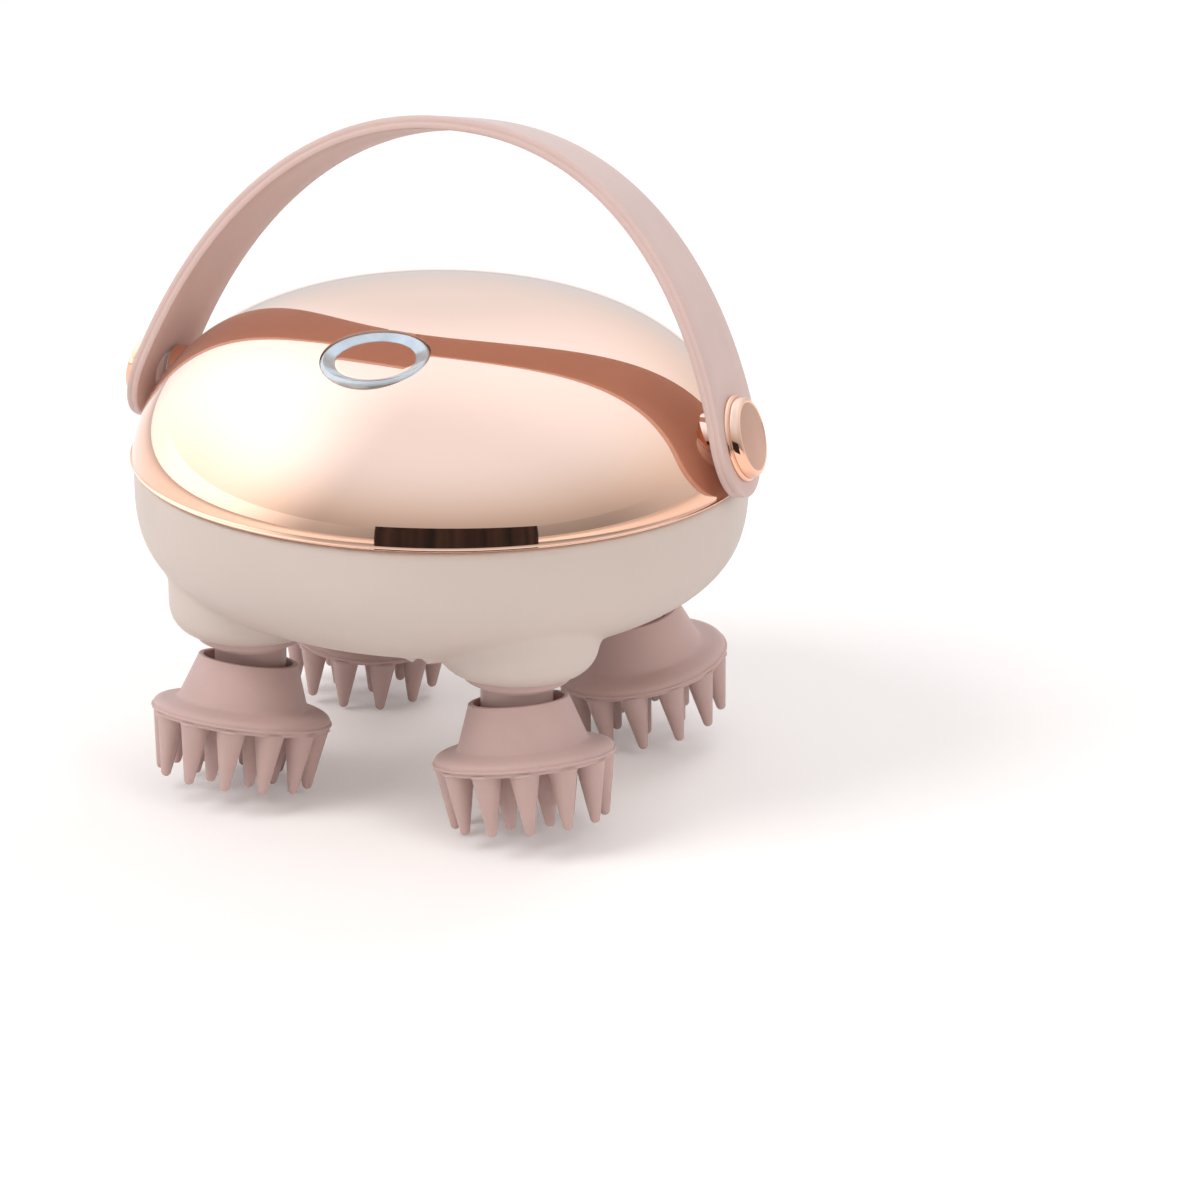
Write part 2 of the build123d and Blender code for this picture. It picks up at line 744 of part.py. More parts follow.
def make_motor_cap():
    shape = disc(motor_cap_radius, motor_top, motor_top + motor_cap_height)
    for side in (-1, 1):
        x = side * motor_cap_radius * 0.6
        shape += box_between((x - 0.3, -1.2, motor_top), (x + 0.3, 1.2, motor_top + motor_cap_height + 0.6))
    return shape


def make_motor_screws():
    screw = pan_screw(gearbox_screw_radius, cover_thickness + 3, screw_head_radius, 1.1)
    places = [(0, -motor_screw_circle), (0, motor_screw_circle)]
    return group([Pos(x, y, cover_z) * Rot(180, 0, 0) * screw for x, y in places])


def make_battery_cell():
    shape = Cylinder(cell_radius, cell_length)
    shape += Pos(0, 0, cell_length / 2) * Cylinder(cell_radius * 0.35, 1.6)
    return Pos(0, cell_y, cell_z) * Rot(0, 90, 0) * shape


# ---- Power button, light ring and board ------------------------------------------------------
def button_place():
    """Frame on the dome's skin at the button, +Z out along the button's axis."""
    return Pos(0, -button_offset, seam_z + dome_rise(button_offset)) * Rot(button_tilt, 0, 0)


def flange_top():
    """Top of the button's flange, just under the light ring."""
    return -ring_sink - ring_depth - ring_flange - 0.1


def stem_end():
    """Lower end of the button's stem at rest."""
    return flange_top() - button_flange - stem_length


def board_top():
    """Upper face of the control board."""
    return stem_end() - plunger_proud - switch_height


def board_post_places():
    """Board posts, clear of the light ring's flange and of the case posts."""
    reach = ring_flange_radius + board_post_radius - board_post_circle + 0.3
    return [polar(board_post_circle + reach, angle) for angle in (25, 155, 250)]


def make_light_ring():
    top = -ring_sink
    low = top - ring_depth
    outline = polygon(
        [
            (ring_bore, low - ring_flange),
            (ring_flange_radius, low - ring_flange),
            (ring_flange_radius, low),
            (ring_radius, low),
            (ring_radius, top),
            (ring_bore + 1.4 * ring_bevel, top),
            (ring_bore, top - 0.5 * ring_bevel),
        ]
    )
    return button_place() * turned(outline)


def make_power_button():
    top = -ring_sink - button_sink + 0.45
    cap = disc(button_radius, flange_top(), top)
    cap = fillet(cap.edges().group_by(Axis.Z)[-1], 0.3)
    cap += disc(button_flange_radius, flange_top() - button_flange, flange_top())
    cap += disc(stem_radius, stem_end(), flange_top() - button_flange)
    hollow = tube(button_radius - button_cap, stem_radius, flange_top() - 5, top - button_cap)
    return button_place() * (cap - hollow)


def make_switch_plunger():
    return button_place() * disc(plunger_radius, stem_end() - plunger_proud - 0.5, stem_end())


def make_switch_body():
    low = board_top()
    high = low + switch_height
    half = switch_side / 2
    body = box_between((-half, -half, low), (half, half, high))
    body -= disc(plunger_radius + 0.1, high - 1.5, high + 1)
    return button_place() * body


def make_control_board():
    top = board_top()
    shape = disc(board_radius, top - board_thickness, top)
    for x, y in board_post_places():
        shape += disc(board_post_radius + 0.4, top - board_thickness, top, (x, y))
        shape -= disc(board_screw_radius + 0.1, top - board_thickness - 1, top + 1, (x, y))
    return button_place() * shape


def make_board_screws():
    screw = pan_screw(board_screw_radius, board_thickness + 3, 1.5, 0.9)
    low = board_top() - board_thickness
    screws = [Pos(x, y, low) * Rot(180, 0, 0) * screw for x, y in board_post_places()]
    return button_place() * group(screws)


# ---- Charging port ---------------------------------------------------------------------------
def make_charging_socket():
    front = base_radius - base_wall - 0.3
    shape = port_opening(socket_width, socket_height, front - socket_depth, front)
    hollow = port_opening(
        socket_width - 2 * socket_wall, socket_height - 2 * socket_wall, front - socket_depth + 1, front + 1
    )
    tongue = Pos(0, front - socket_depth / 2, port_z) * Box(socket_width - 2.4, socket_depth - 1.5, 0.7)
    return shape - hollow + tongue


def make_charge_board():
    top = port_z - socket_height / 2
    back = base_radius - base_wall - charge_board_length
    low = (-charge_board_width / 2, back, top - charge_board_thickness)
    depth = seam_z - low[2]
    wall_radius = base_reach(base_radius - base_wall, base_curve_depth - base_wall, depth)
    front = math.sqrt(wall_radius**2 - low[0] ** 2) - charge_board_gap
    return box_between(low, (-low[0], front, top))


def make_dust_plug():
    face = port_recess_y() + 0.02
    lip = port_opening(plug_width, plug_height, face, face + plug_thickness)
    wall = base_radius - base_wall - 0.3
    stem = port_opening(socket_width + 0.2, socket_height + 0.2, wall + 0.15, face + 0.3)
    inner = port_opening(
        socket_width - 2 * socket_wall - 0.3, socket_height - 2 * socket_wall - 0.3, wall - 0.6, face + 0.3
    )
    return lip + stem + inner


# ---- Strap and pivots ------------------------------------------------------------------------
def strap_point(angle, offset):
    """A point of the strap's section, offset outward from its middle surface, upright."""
    power = 2 / strap_exponent
    c, s = math.cos(angle), math.sin(angle)
    x = strap_half_span * math.copysign(abs(c) ** power, c)
    z = strap_rise * abs(s) ** power
    nx = math.copysign(abs(x / strap_half_span) ** (strap_exponent - 1), x) / strap_half_span
    nz = (z / strap_rise) ** (strap_exponent - 1) / strap_rise
    length = math.hypot(nx, nz)
    return x + offset * nx / length, pivot_z - strap_centre_drop + z + offset * nz / length


def strap_angle(height):
    """Curve angle of the middle surface at a height on the right-hand side."""
    share = (height - pivot_z + strap_centre_drop) / strap_rise
    return math.asin(share ** (strap_exponent / 2))


def leaned(shape):
    """Turns the upright strap back about the pivots' axis."""
    return Pos(0, 0, pivot_z) * Rot(-strap_lean, 0, 0) * Pos(0, 0, -pivot_z) * shape


def cap_frame():
    """Plane on the strap's outer face at the right pivot, square to the strap."""
    angle = strap_angle(pivot_z)
    x, z = strap_point(angle, strap_thickness / 2)
    inner_x, inner_z = strap_point(angle, 0)
    return Plane(origin=(x, 0, z), x_dir=(0, 1, 0), z_dir=(x - inner_x, 0, z - inner_z))


def make_strap():
    start = strap_angle(pivot_z - strap_foot_radius - 1.5)
    steps = 14
    angles = [start + (math.pi - 2 * start) * k / steps for k in range(steps + 1)]
    outer = [(x, 0, z) for x, z in (strap_point(a, strap_thickness / 2) for a in angles)]
    inner = [(x, 0, z) for x, z in (strap_point(a, -strap_thickness / 2) for a in angles)]
    outline = Spline(*outer) + Line(outer[-1], inner[-1])
    outline += Spline(*reversed(inner)) + Line(inner[0], outer[0])
    band = extrude(make_face(outline), strap_foot_radius + 1, dir=(0, 1, 0), both=True)
    top = pivot_z - strap_centre_drop + strap_rise + strap_thickness
    foot = ThreePointArc(
        (0, -strap_foot_radius, pivot_z),
        (0, 0, pivot_z - strap_foot_radius),
        (0, strap_foot_radius, pivot_z),
    )
    sides = Polyline(
        (0, strap_foot_radius, pivot_z),
        (0, strap_top_half_width, top),
        (0, -strap_top_half_width, top),
        (0, -strap_foot_radius, pivot_z),
    )
    plan = extrude(make_face(foot + sides), strap_half_span + 5, dir=(1, 0, 0), both=True)
    strap = band & plan
    face_in = pivot_face + pivot_washer + strap_face_gap
    middle_x, _ = strap_point(strap_angle(pivot_z), 0)
    boss = cross_pin(strap_boss_radius, face_in, middle_x, pivot_z)
    hole = cross_pin(pivot_pin_radius + fit_gap, face_in - 5, rim_radius + 10, pivot_z)
    seat = cap_frame().location * disc(cap_radius + cap_seat_gap, -cap_seat_depth, 5)
    recess = cross_pin(pivot_land_radius + pivot_land_gap, pivot_face - 10, face_in, pivot_z)
    for side in (lambda shape: shape, mirrored):
        strap -= side(recess)
        strap += side(boss)
        strap -= side(hole)
        strap -= side(seat)
    return leaned(strap)


def pin_end():
    """Outer end of a pivot pin, inside its cap."""
    middle_x, _ = strap_point(strap_angle(pivot_z), 0)
    return middle_x + strap_thickness / 2 + pivot_pin_in_cap


def make_strap_caps():
    low = -cap_seat_depth
    outline = polygon(
        [
            (0, low),
            (cap_radius, low),
            (cap_radius, low + cap_flange),
            (cap_body_radius, low + cap_flange + 0.35),
            (cap_face_radius, low + cap_height),
            (0, low + cap_height),
        ]
    )
    cap = cap_frame().location * turned(outline)
    cap -= cross_pin(pivot_pin_radius + fit_gap, pivot_face, pin_end() + 0.05, pivot_z)
    return leaned(both_sides(cap))


def clip_x():
    """Inner face of the retaining clip behind a pivot bush."""
    return pivot_face - pivot_bush_length - 0.1 - clip_thickness


def make_pivot_pins():
    pin = cross_pin(pivot_pin_radius, clip_x() - 0.8, pin_end(), pivot_z)
    groove = cross_pin(pivot_pin_radius + 1, clip_x(), clip_x() + clip_thickness, pivot_z)
    core = cross_pin(pivot_pin_radius - groove_depth, clip_x() - 1, clip_x() + 2, pivot_z)
    return both_sides(pin - (groove - core))


def make_pivot_clips():
    low, high = clip_x() + 0.02, clip_x() + clip_thickness - 0.02
    clip = cross_pin(clip_radius, low, high, pivot_z)
    clip -= cross_pin(pivot_pin_radius - groove_depth + fit_gap, low - 1, high + 1, pivot_z)
    slot_half = (pivot_pin_radius - groove_depth) * 0.9
    clip -= box_between((low - 1, -slot_half, pivot_z - clip_radius - 1), (high + 1, slot_half, pivot_z))
    return both_sides(clip)


def make_pivot_washers():
    washer = cross_pin(strap_boss_radius, pivot_face + 0.03, pivot_face + pivot_washer, pivot_z)
    washer -= cross_pin(pivot_pin_radius + running_gap, pivot_face - 1, pivot_face + 2, pivot_z)
    return both_sides(washer)


def make_pivot_bushes():
    inner = pivot_pin_radius + running_gap
    start = pivot_face - pivot_bush_length
    bush = cross_pin(inner + pivot_bush_wall, start, pivot_face, pivot_z)
    return both_sides(bush - cross_pin(inner, start - 1, pivot_face + 1, pivot_z))


# ---- Claw head on its crank pin --------------------------------------------------------------
def make_head_hub():
    hub_radius = collar_mouth_radius - collar_wall - hub_gap
    shape = disc(hub_radius, -crank_to_rim, -hub_mouth)
    shape -= flat_shaft(crank_pin_radius, -crank_pin_length - 0.1, 0, fit_gap)
    groove_low = -hub_mouth - hub_groove_low
    shape -= tube(hub_radius + 1, hub_radius - 0.5, groove_low, -hub_mouth - hub_groove_high)
    return crank_frame() * shape


def make_claw_head():
    rim = -crank_to_rim
    low = rim - plate_skirt
    mouth = rim + collar_height
    inner = collar_mouth_radius - collar_wall
    skirt_radius = plate_radius - rim_lip
    outline = polygon(
        [
            (0, rim - 0.05),
            (inner - 0.2, rim - 0.05),
            (inner, mouth),
            (collar_mouth_radius - 0.2, mouth),
            (collar_mouth_radius, mouth - 0.3),
            (collar_base_radius, rim + collar_base_height),
            (collar_base_radius + 1.1, rim + 0.72 * collar_base_height),
            (skirt_radius - 0.6, rim + 0.35),
            (plate_radius, rim),
            (plate_radius, rim - 0.35),
            (skirt_radius, rim - 0.5),
            (skirt_radius - 0.15, low),
            (0, low),
        ]
    )
    shape = turned(outline)
    tooth = Pos(0, 0, low - tooth_length / 2 + 0.1) * Cone(
        tooth_tip_radius, tooth_root_radius, tooth_length + 0.2
    )
    for count, radius in ((outer_teeth, outer_ring_radius), (inner_teeth, inner_ring_radius)):
        for k in range(count):
            x, y = polar(radius, 360 * k / count)
            shape += Pos(x, y, -0.1) * tooth
    return crank_frame() * shape


# ---- All pieces, one file each ---------------------------------------------------------------
def all_pieces():
    pieces = {
        "base_shell": make_base_shell(),
        "top_shell": make_top_shell(),
        "seam_gasket": make_seam_gasket(),
        "seal_retainers": make_seal_retainers(),
        "spindle_seals": make_spindle_seals(),
        "spindle_bushes": make_spindle_bushes(),
        "gear_plate": make_gear_plate(),
        "gearbox_cover": make_gearbox_cover(),
        "sun_axle": make_sun_axle(),
        "gear_axles": make_gear_axles(),
        "gearbox_screws": make_gearbox_screws(),
        "case_screws": make_case_screws(),
        "motor": make_motor(),
        "motor_cap": make_motor_cap(),
        "motor_screws": make_motor_screws(),
        "battery_cell": make_battery_cell(),
        "light_ring": make_light_ring(),
        "switch_body": make_switch_body(),
        "control_board": make_control_board(),
        "board_screws": make_board_screws(),
        "charging_socket": make_charging_socket(),
        "charge_board": make_charge_board(),
        "pivot_bushes": make_pivot_bushes(),
        "sun_gear": make_sun_gear(),
        "sun_wheel": make_sun_wheel(),
        "first_gear": make_first_gear(),
        "second_gear": make_second_gear(),
        "motor_shaft": make_motor_shaft(),
        "motor_pinion": make_motor_pinion(),
        "power_button": make_power_button(),
        "switch_plunger": make_switch_plunger(),
        "dust_plug": make_dust_plug(),
        "strap": make_strap(),
        "strap_caps": make_strap_caps(),
        "pivot_pins": make_pivot_pins(),
        "pivot_clips": make_pivot_clips(),
        "pivot_washers": make_pivot_washers(),
    }
    spindle = make_spindle()
    spindle_gear = make_spindle_gear()
    head_hub = make_head_hub()
    claw_head = make_claw_head()
    for corner in corner_signs:
        place = spindle_place(corner)
        pieces["spindle_" + corner] = place * spindle
        pieces["spindle_gear_" + corner] = place * spindle_gear
        pieces["head_hub_" + corner] = place * head_hub
        pieces["claw_head_" + corner] = place * claw_head
    return pieces


os.makedirs("parts", exist_ok=True)
for name, piece in all_pieces().items():
    export_step(piece, os.path.join("parts", name + ".step"))
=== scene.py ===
import json
import math

import bpy
from mathutils import Matrix, Vector


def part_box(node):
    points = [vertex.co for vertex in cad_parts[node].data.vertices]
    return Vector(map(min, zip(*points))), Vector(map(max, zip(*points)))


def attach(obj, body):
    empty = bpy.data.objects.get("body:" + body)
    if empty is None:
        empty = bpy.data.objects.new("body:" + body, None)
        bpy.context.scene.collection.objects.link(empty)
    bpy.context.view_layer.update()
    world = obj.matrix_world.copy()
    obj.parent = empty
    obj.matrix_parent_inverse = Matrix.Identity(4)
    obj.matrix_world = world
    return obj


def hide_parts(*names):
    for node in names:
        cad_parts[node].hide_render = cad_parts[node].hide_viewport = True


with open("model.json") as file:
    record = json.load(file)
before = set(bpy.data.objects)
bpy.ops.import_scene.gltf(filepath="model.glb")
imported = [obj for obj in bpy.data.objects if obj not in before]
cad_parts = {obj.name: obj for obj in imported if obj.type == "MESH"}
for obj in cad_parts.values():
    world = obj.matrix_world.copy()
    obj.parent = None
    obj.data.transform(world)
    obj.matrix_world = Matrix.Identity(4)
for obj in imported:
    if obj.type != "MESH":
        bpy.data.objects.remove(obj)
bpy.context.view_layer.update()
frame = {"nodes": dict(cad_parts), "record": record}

# ---- Sizes, in metres -------------------------------------------------------------------------
# Heights hang on the seam between the two shells, and the cranks on the ends of the shell's bosses.
SEAM_GAP = 0.0003
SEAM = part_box("seam_gasket")[0].z + SEAM_GAP
WELD = 1e-6

DOME_RADIUS = 0.0546
DOME_HEIGHT = 0.0285
DOME_WALL = 0.0020
DOME_POWER = 3
DOME_FULLNESS = 0.585
RIM_RADIUS = 0.05498
RIM_HEIGHT = 0.00045

BUTTON_OFFSET = 0.0287
BUTTON_TILT = math.radians(12)
BUTTON_RADIUS = 0.00698
RING_RADIUS = 0.0095
RING_BORE = 0.0070
RING_SINK = 0.0005
RING_GAP = 0.00004
BUTTON_SINK = RING_SINK + 0.00058

PIVOT_RISE = 0.0099
PIVOT = SEAM + PIVOT_RISE
PIVOT_FACE = 0.0522
PIVOT_LAND = 0.0038
PIN_RADIUS = 0.0020
WASHER_RADIUS = 0.0031
WASHER_THICKNESS = 0.00042

STRAP_HALF_SPAN = 0.0600
STRAP_RISE = 0.0865
STRAP_DROP = 0.0379
STRAP_POWER = 2.14
STRAP_THICKNESS = 0.00235
STRAP_HALF_THICKNESS = STRAP_THICKNESS / 2
STRAP_FOOT = 0.0098
STRAP_TOP_HALF_WIDTH = 0.0082
STRAP_LEAN = math.radians(13.9)
STRAP_EDGE = 0.00045
STRAP_GROOVE = 0.00012
CAP_SEAT = 0.00035
CAP_RADIUS = 0.0076
CAP_FACE_RADIUS = 0.0064

BOSS_REACH = 0.0276
BOSS_END = SEAM - BOSS_REACH
BOSS_ABOVE_CRANK = 0.00215
CRANK_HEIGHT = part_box("base_shell")[0].z - BOSS_ABOVE_CRANK
CRANK_TILT = math.radians(12)
CRANK_TO_RIM = 0.0127
SPINDLE_TEETH = 22
SPINDLE_CIRCLE = 0.0360
SPINDLE_OFFSET = SPINDLE_CIRCLE / math.sqrt(2)

PLATE_RADIUS = 0.0160
PLATE_SKIRT = 0.0012
COLLAR_HEIGHT = 0.0098
COLLAR_MOUTH_RADIUS = 0.00885
COLLAR_BASE_RADIUS = 0.0113
COLLAR_WALL = 0.0010
TOOTH_END = 0.01195
TOOTH_ROOT_RADIUS = 0.0026
TOOTH_TIP_RADIUS = 0.00088
TOOTH_RINGS = ((12, 0.0130), (6, 0.0068))

# Each corner's side in X and in Y, and how far its crank is turned on from the one at the back
# right, in teeth of the spindle gears. The back right crank leans straight outward.
CORNERS = {
    "front_left": (-1, -1, -9),
    "front_right": (1, -1, -5),
    "back_right": (1, 1, 0),
    "back_left": (-1, 1, 5),
}
node_body = {n: b for b, nodes in frame["record"]["behaviour"]["bodies"].items() for n in nodes}


# ---- Working on one piece ---------------------------------------------------------------------
def choose(piece):
    """Leaves only this piece selected and active."""
    bpy.ops.object.select_all(action="DESELECT")
    piece.select_set(True)
    bpy.context.view_layer.objects.active = piece


def apply_modifier(piece, kind, **values):
    """Adds a modifier, sets it up and applies it."""
    choose(piece)
    modifier = piece.modifiers.new(kind.lower(), kind)
    for name, value in values.items():
        setattr(modifier, name, value)
    bpy.ops.object.modifier_apply(modifier=modifier.name)


def set_place(piece, place):
    """Moves the mesh itself, so that the object stays at the origin."""
    piece.data.transform(place)
    piece.matrix_world = Matrix.Identity(4)


def smooth_all(piece, angle=None):
    """Smooth shading, over every edge or only under an angle in degrees."""
    choose(piece)
    if angle is None:
        bpy.ops.object.shade_smooth()
    else:
        bpy.ops.object.shade_smooth_by_angle(angle=math.radians(angle))


def wear(piece, *materials):
    """Gives the piece its materials in order."""
    piece.data.materials.clear()
    for material in materials:
        piece.data.materials.append(material)


def move_with(piece, node):
    """The piece moves with a CAD node's body."""
    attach(piece, node_body[node])


def stand_for(piece, node):
    """The piece moves with a CAD node's body and takes that node's place."""
    move_with(piece, node)
    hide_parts(node)


def copy_of(piece, place):
    """A copy of the piece, with its own mesh, moved to a place."""
    copy = piece.copy()
    copy.data = piece.data.copy()
    bpy.context.scene.collection.objects.link(copy)
    set_place(copy, place)
    return copy


def joined(pieces):
    """Several pieces made one, under the first one's name."""
    bpy.ops.object.select_all(action="DESELECT")
    for piece in pieces:
        piece.select_set(True)
    bpy.context.view_layer.objects.active = pieces[0]
    bpy.ops.object.join()
    return pieces[0]


def lathed(name, outline, steps=128, angle=35):
    """A turned piece: one vertex is drawn out along the outline of (radius, height) and spun."""
    bpy.ops.object.select_all(action="DESELECT")
    bpy.ops.mesh.primitive_plane_add(size=0.001)
    piece = bpy.context.active_object
    piece.name = name
    bpy.ops.object.mode_set(mode="EDIT")
    bpy.ops.mesh.merge(type="CENTER")
    at = Vector((outline[0][0], 0, outline[0][1]))
    bpy.ops.transform.translate(value=at)
    for radius, height in outline[1:]:
        point = Vector((radius, 0, height))
        bpy.ops.mesh.extrude_region_move(TRANSFORM_OT_translate={"value": point - at})
        at = point
    bpy.ops.mesh.select_all(action="SELECT")
    bpy.ops.mesh.spin(steps=steps, angle=2 * math.pi, center=(0, 0, 0), axis=(0, 0, 1))
    bpy.ops.mesh.select_all(action="SELECT")
    bpy.ops.mesh.remove_doubles(threshold=WELD)
    bpy.ops.mesh.normals_make_consistent(inside=False)
    bpy.ops.object.mode_set(mode="OBJECT")
    smooth_all(piece, angle)
    return piece


def arc(centre, radius, start, end, steps):
    """Points on an arc from one angle to another, in degrees."""
    points = []
    for k in range(steps + 1):
        turn = math.radians(start + (end - start) * k / steps)
        points.append((centre[0] + radius * math.cos(turn), centre[1] + radius * math.sin(turn)))
    return points


def crowned(radius, height, crown, steps):
    """Points over a slightly domed round face, from its middle to its edge."""
    return [(radius * k / steps, height + crown * (1 - (k / steps) ** 2)) for k in range(steps + 1)]


# ---- Materials --------------------------------------------------------------------------------
NOISE_LOW = 0.3
NOISE_HIGH = 0.7
GRAIN_DETAIL = 2.0
GRAIN_STRENGTH = 0.6


def new_material(name):
    material = bpy.data.materials.new(name)
    material.use_nodes = True
    return material, material.node_tree, material.node_tree.nodes["Principled BSDF"]


def noise(tree, scale, detail=3.0):
    """Noise over the piece's own coordinates, in metres."""
    place = tree.nodes.new("ShaderNodeTexCoord")
    texture = tree.nodes.new("ShaderNodeTexNoise")
    texture.inputs["Scale"].default_value = scale
    texture.inputs["Detail"].default_value = detail
    tree.links.new(place.outputs["Object"], texture.inputs["Vector"])
    return texture.outputs["Fac"]


def ranged(tree, value, start, end, low, high, smooth=False):
    """The value carried from one range to another, straight or with soft ends."""
    node = tree.nodes.new("ShaderNodeMapRange")
    if smooth:
        node.interpolation_type = "SMOOTHSTEP"
    node.inputs["From Min"].default_value = start
    node.inputs["From Max"].default_value = end
    node.inputs["To Min"].default_value = low
    node.inputs["To Max"].default_value = high
    tree.links.new(value, node.inputs["Value"])
    return node.outputs["Result"]


def spread(tree, value, low, high):
    """Noise spread out between two limits."""
    return ranged(tree, value, NOISE_LOW, NOISE_HIGH, low, high)


def stepped(tree, value, start, end, low, high):
    """A smooth step from one level to another."""
    return ranged(tree, value, start, end, low, high, smooth=True)


def blended(tree, share, first, second):
    """A colour between two, by a share from 0 to 1."""
    mix = tree.nodes.new("ShaderNodeMix")
    mix.data_type = "RGBA"
    mix.inputs["A"].default_value = (*first, 1)
    mix.inputs["B"].default_value = (*second, 1)
    tree.links.new(share, mix.inputs["Factor"])
    return mix.outputs["Result"]


def tinted(tree, shader, value, dark, light):
    """Base colour between two tones by a noise."""
    tone = blended(tree, spread(tree, value, 0, 1), dark, light)
    tree.links.new(tone, shader.inputs["Base Color"])


def bumped(tree, shader, value, distance):
    bump = tree.nodes.new("ShaderNodeBump")
    bump.inputs["Strength"].default_value = GRAIN_STRENGTH
    bump.inputs["Distance"].default_value = distance
    tree.links.new(value, bump.inputs["Height"])
    tree.links.new(bump.outputs["Normal"], shader.inputs["Normal"])


def made_of(
    name, colour, spot=0.04, patch=60, grain=2500, grain_depth=0.00001, roughness=(0.4, 0.5), **sockets
):
    """A finish with drifting tone, drifting gloss and a fine moulded or cut grain."""
    material, tree, shader = new_material(name)
    dark = [c * (1 - spot) for c in colour]
    light = [min(1, c * (1 + spot)) for c in colour]
    tinted(tree, shader, noise(tree, patch), dark, light)
    gloss = spread(tree, noise(tree, patch * 3), *roughness)
    tree.links.new(gloss, shader.inputs["Roughness"])
    if grain_depth:
        bumped(tree, shader, noise(tree, grain, GRAIN_DETAIL), grain_depth)
    for socket, value in sockets.items():
        shader.inputs[socket.replace("_", " ")].default_value = value
    return material


rose_gold_plate = made_of(
    "rose_gold_plate", (0.925, 0.550, 0.385), spot=0.01, patch=25, grain_depth=0,
    roughness=(0.015, 0.035), Metallic=1.0, Coat_Weight=0.4, Coat_Roughness=0.02,
)
rose_gold_satin = made_of(
    "rose_gold_satin", (0.60, 0.345, 0.25), grain=5000, grain_depth=0.000006,
    roughness=(0.30, 0.38), Metallic=1.0,
)
rose_gold_polish = made_of(
    "rose_gold_polish", (0.90, 0.53, 0.37), spot=0.02, grain_depth=0,
    roughness=(0.05, 0.10), Metallic=1.0,
)
cream_shell = made_of(
    "cream_shell", (0.615, 0.525, 0.470), spot=0.015, patch=45, grain=3200, grain_depth=0.000012,
    roughness=(0.42, 0.50),
)
pink_silicone = made_of(
    "pink_silicone", (0.540, 0.375, 0.345), spot=0.035, patch=90, grain=2400, grain_depth=0.000014,
    roughness=(0.52, 0.62), Sheen_Weight=0.15, Sheen_Roughness=0.5,
    Subsurface_Weight=0.08, Subsurface_Scale=0.002,
)
pink_strap = made_of(
    "pink_strap", (0.635, 0.465, 0.425), spot=0.025, patch=55, grain=3000, grain_depth=0.000010,
    roughness=(0.46, 0.56), Sheen_Weight=0.12, Sheen_Roughness=0.5,
)
pink_plastic = made_of("pink_plastic", (0.55, 0.385, 0.355), spot=0.02, roughness=(0.28, 0.36))
clear_ring = made_of(
    "clear_ring", (0.47, 0.50, 0.52), spot=0.14, patch=260, grain=1200, grain_depth=0.00002,
    roughness=(0.12, 0.24), Coat_Weight=0.6, Coat_Roughness=0.03, Metallic=0.30,
)
cream_rubber = made_of("cream_rubber", (0.62, 0.55, 0.49), roughness=(0.55, 0.65))
grey_rubber = made_of("grey_rubber", (0.06, 0.058, 0.058), spot=0.08, roughness=(0.6, 0.7))
bronze = made_of("bronze", (0.36, 0.20, 0.08), spot=0.12, patch=300, roughness=(0.35, 0.5), Metallic=1.0)
white_nylon = made_of("white_nylon", (0.80, 0.78, 0.73), spot=0.02, roughness=(0.38, 0.46))
black_nylon = made_of("black_nylon", (0.020, 0.020, 0.022), spot=0.15, roughness=(0.45, 0.55))
bright_steel = made_of(
    "bright_steel", (0.52, 0.53, 0.54), spot=0.05, patch=200, grain=6000, grain_depth=0.000004,
    roughness=(0.22, 0.32), Metallic=1.0,
)
motor_can = made_of(
    "motor_can", (0.46, 0.47, 0.48), spot=0.05, patch=120, roughness=(0.28, 0.36), Metallic=1.0
)
black_plastic = made_of("black_plastic", (0.015, 0.015, 0.017), spot=0.2, roughness=(0.3, 0.4))
brass = made_of("brass_pinion", (0.52, 0.36, 0.12), spot=0.06, roughness=(0.2, 0.3), Metallic=1.0)
cell_wrap = made_of("cell_wrap", (0.05, 0.14, 0.34), spot=0.08, patch=80, roughness=(0.15, 0.25))
green_board = made_of("green_board", (0.012, 0.085, 0.040), spot=0.25, patch=400, roughness=(0.25, 0.35))

slot_material = {
    "rose_gold_plate": rose_gold_plate,
    "cream_shell": cream_shell,
    "pink_silicone": pink_silicone,
    "pink_strap": pink_strap,
    "pink_plastic": pink_plastic,
    "pink_spindle": pink_plastic,
    "rose_gold_metal": rose_gold_polish,
    "clear_ring": clear_ring,
    "grey_rubber": grey_rubber,
    "cream_rubber": cream_rubber,
    "bronze": bronze,
    "white_nylon": white_nylon,
    "black_nylon": black_nylon,
    "bright_steel": bright_steel,
    "motor_can": motor_can,
    "black_plastic": black_plastic,
    "brass_pinion": brass,
    "cell_wrap": cell_wrap,
    "green_board": green_board,
}


def dress_cad_nodes():
    """Every CAD node gets the finish of its material slot."""
    for entry in frame["record"]["subparts"]:
        wear(frame["nodes"][entry["node"]], slot_material[entry["material_slot"]])


# ---- Dome -------------------------------------------------------------------------------------
def dome_rise(radius, full_radius=DOME_RADIUS, full_height=DOME_HEIGHT):
    """Height of the dome over the seam at a radius."""
    return full_height * (1 - min(1, radius / full_radius) ** DOME_POWER) ** DOME_FULLNESS


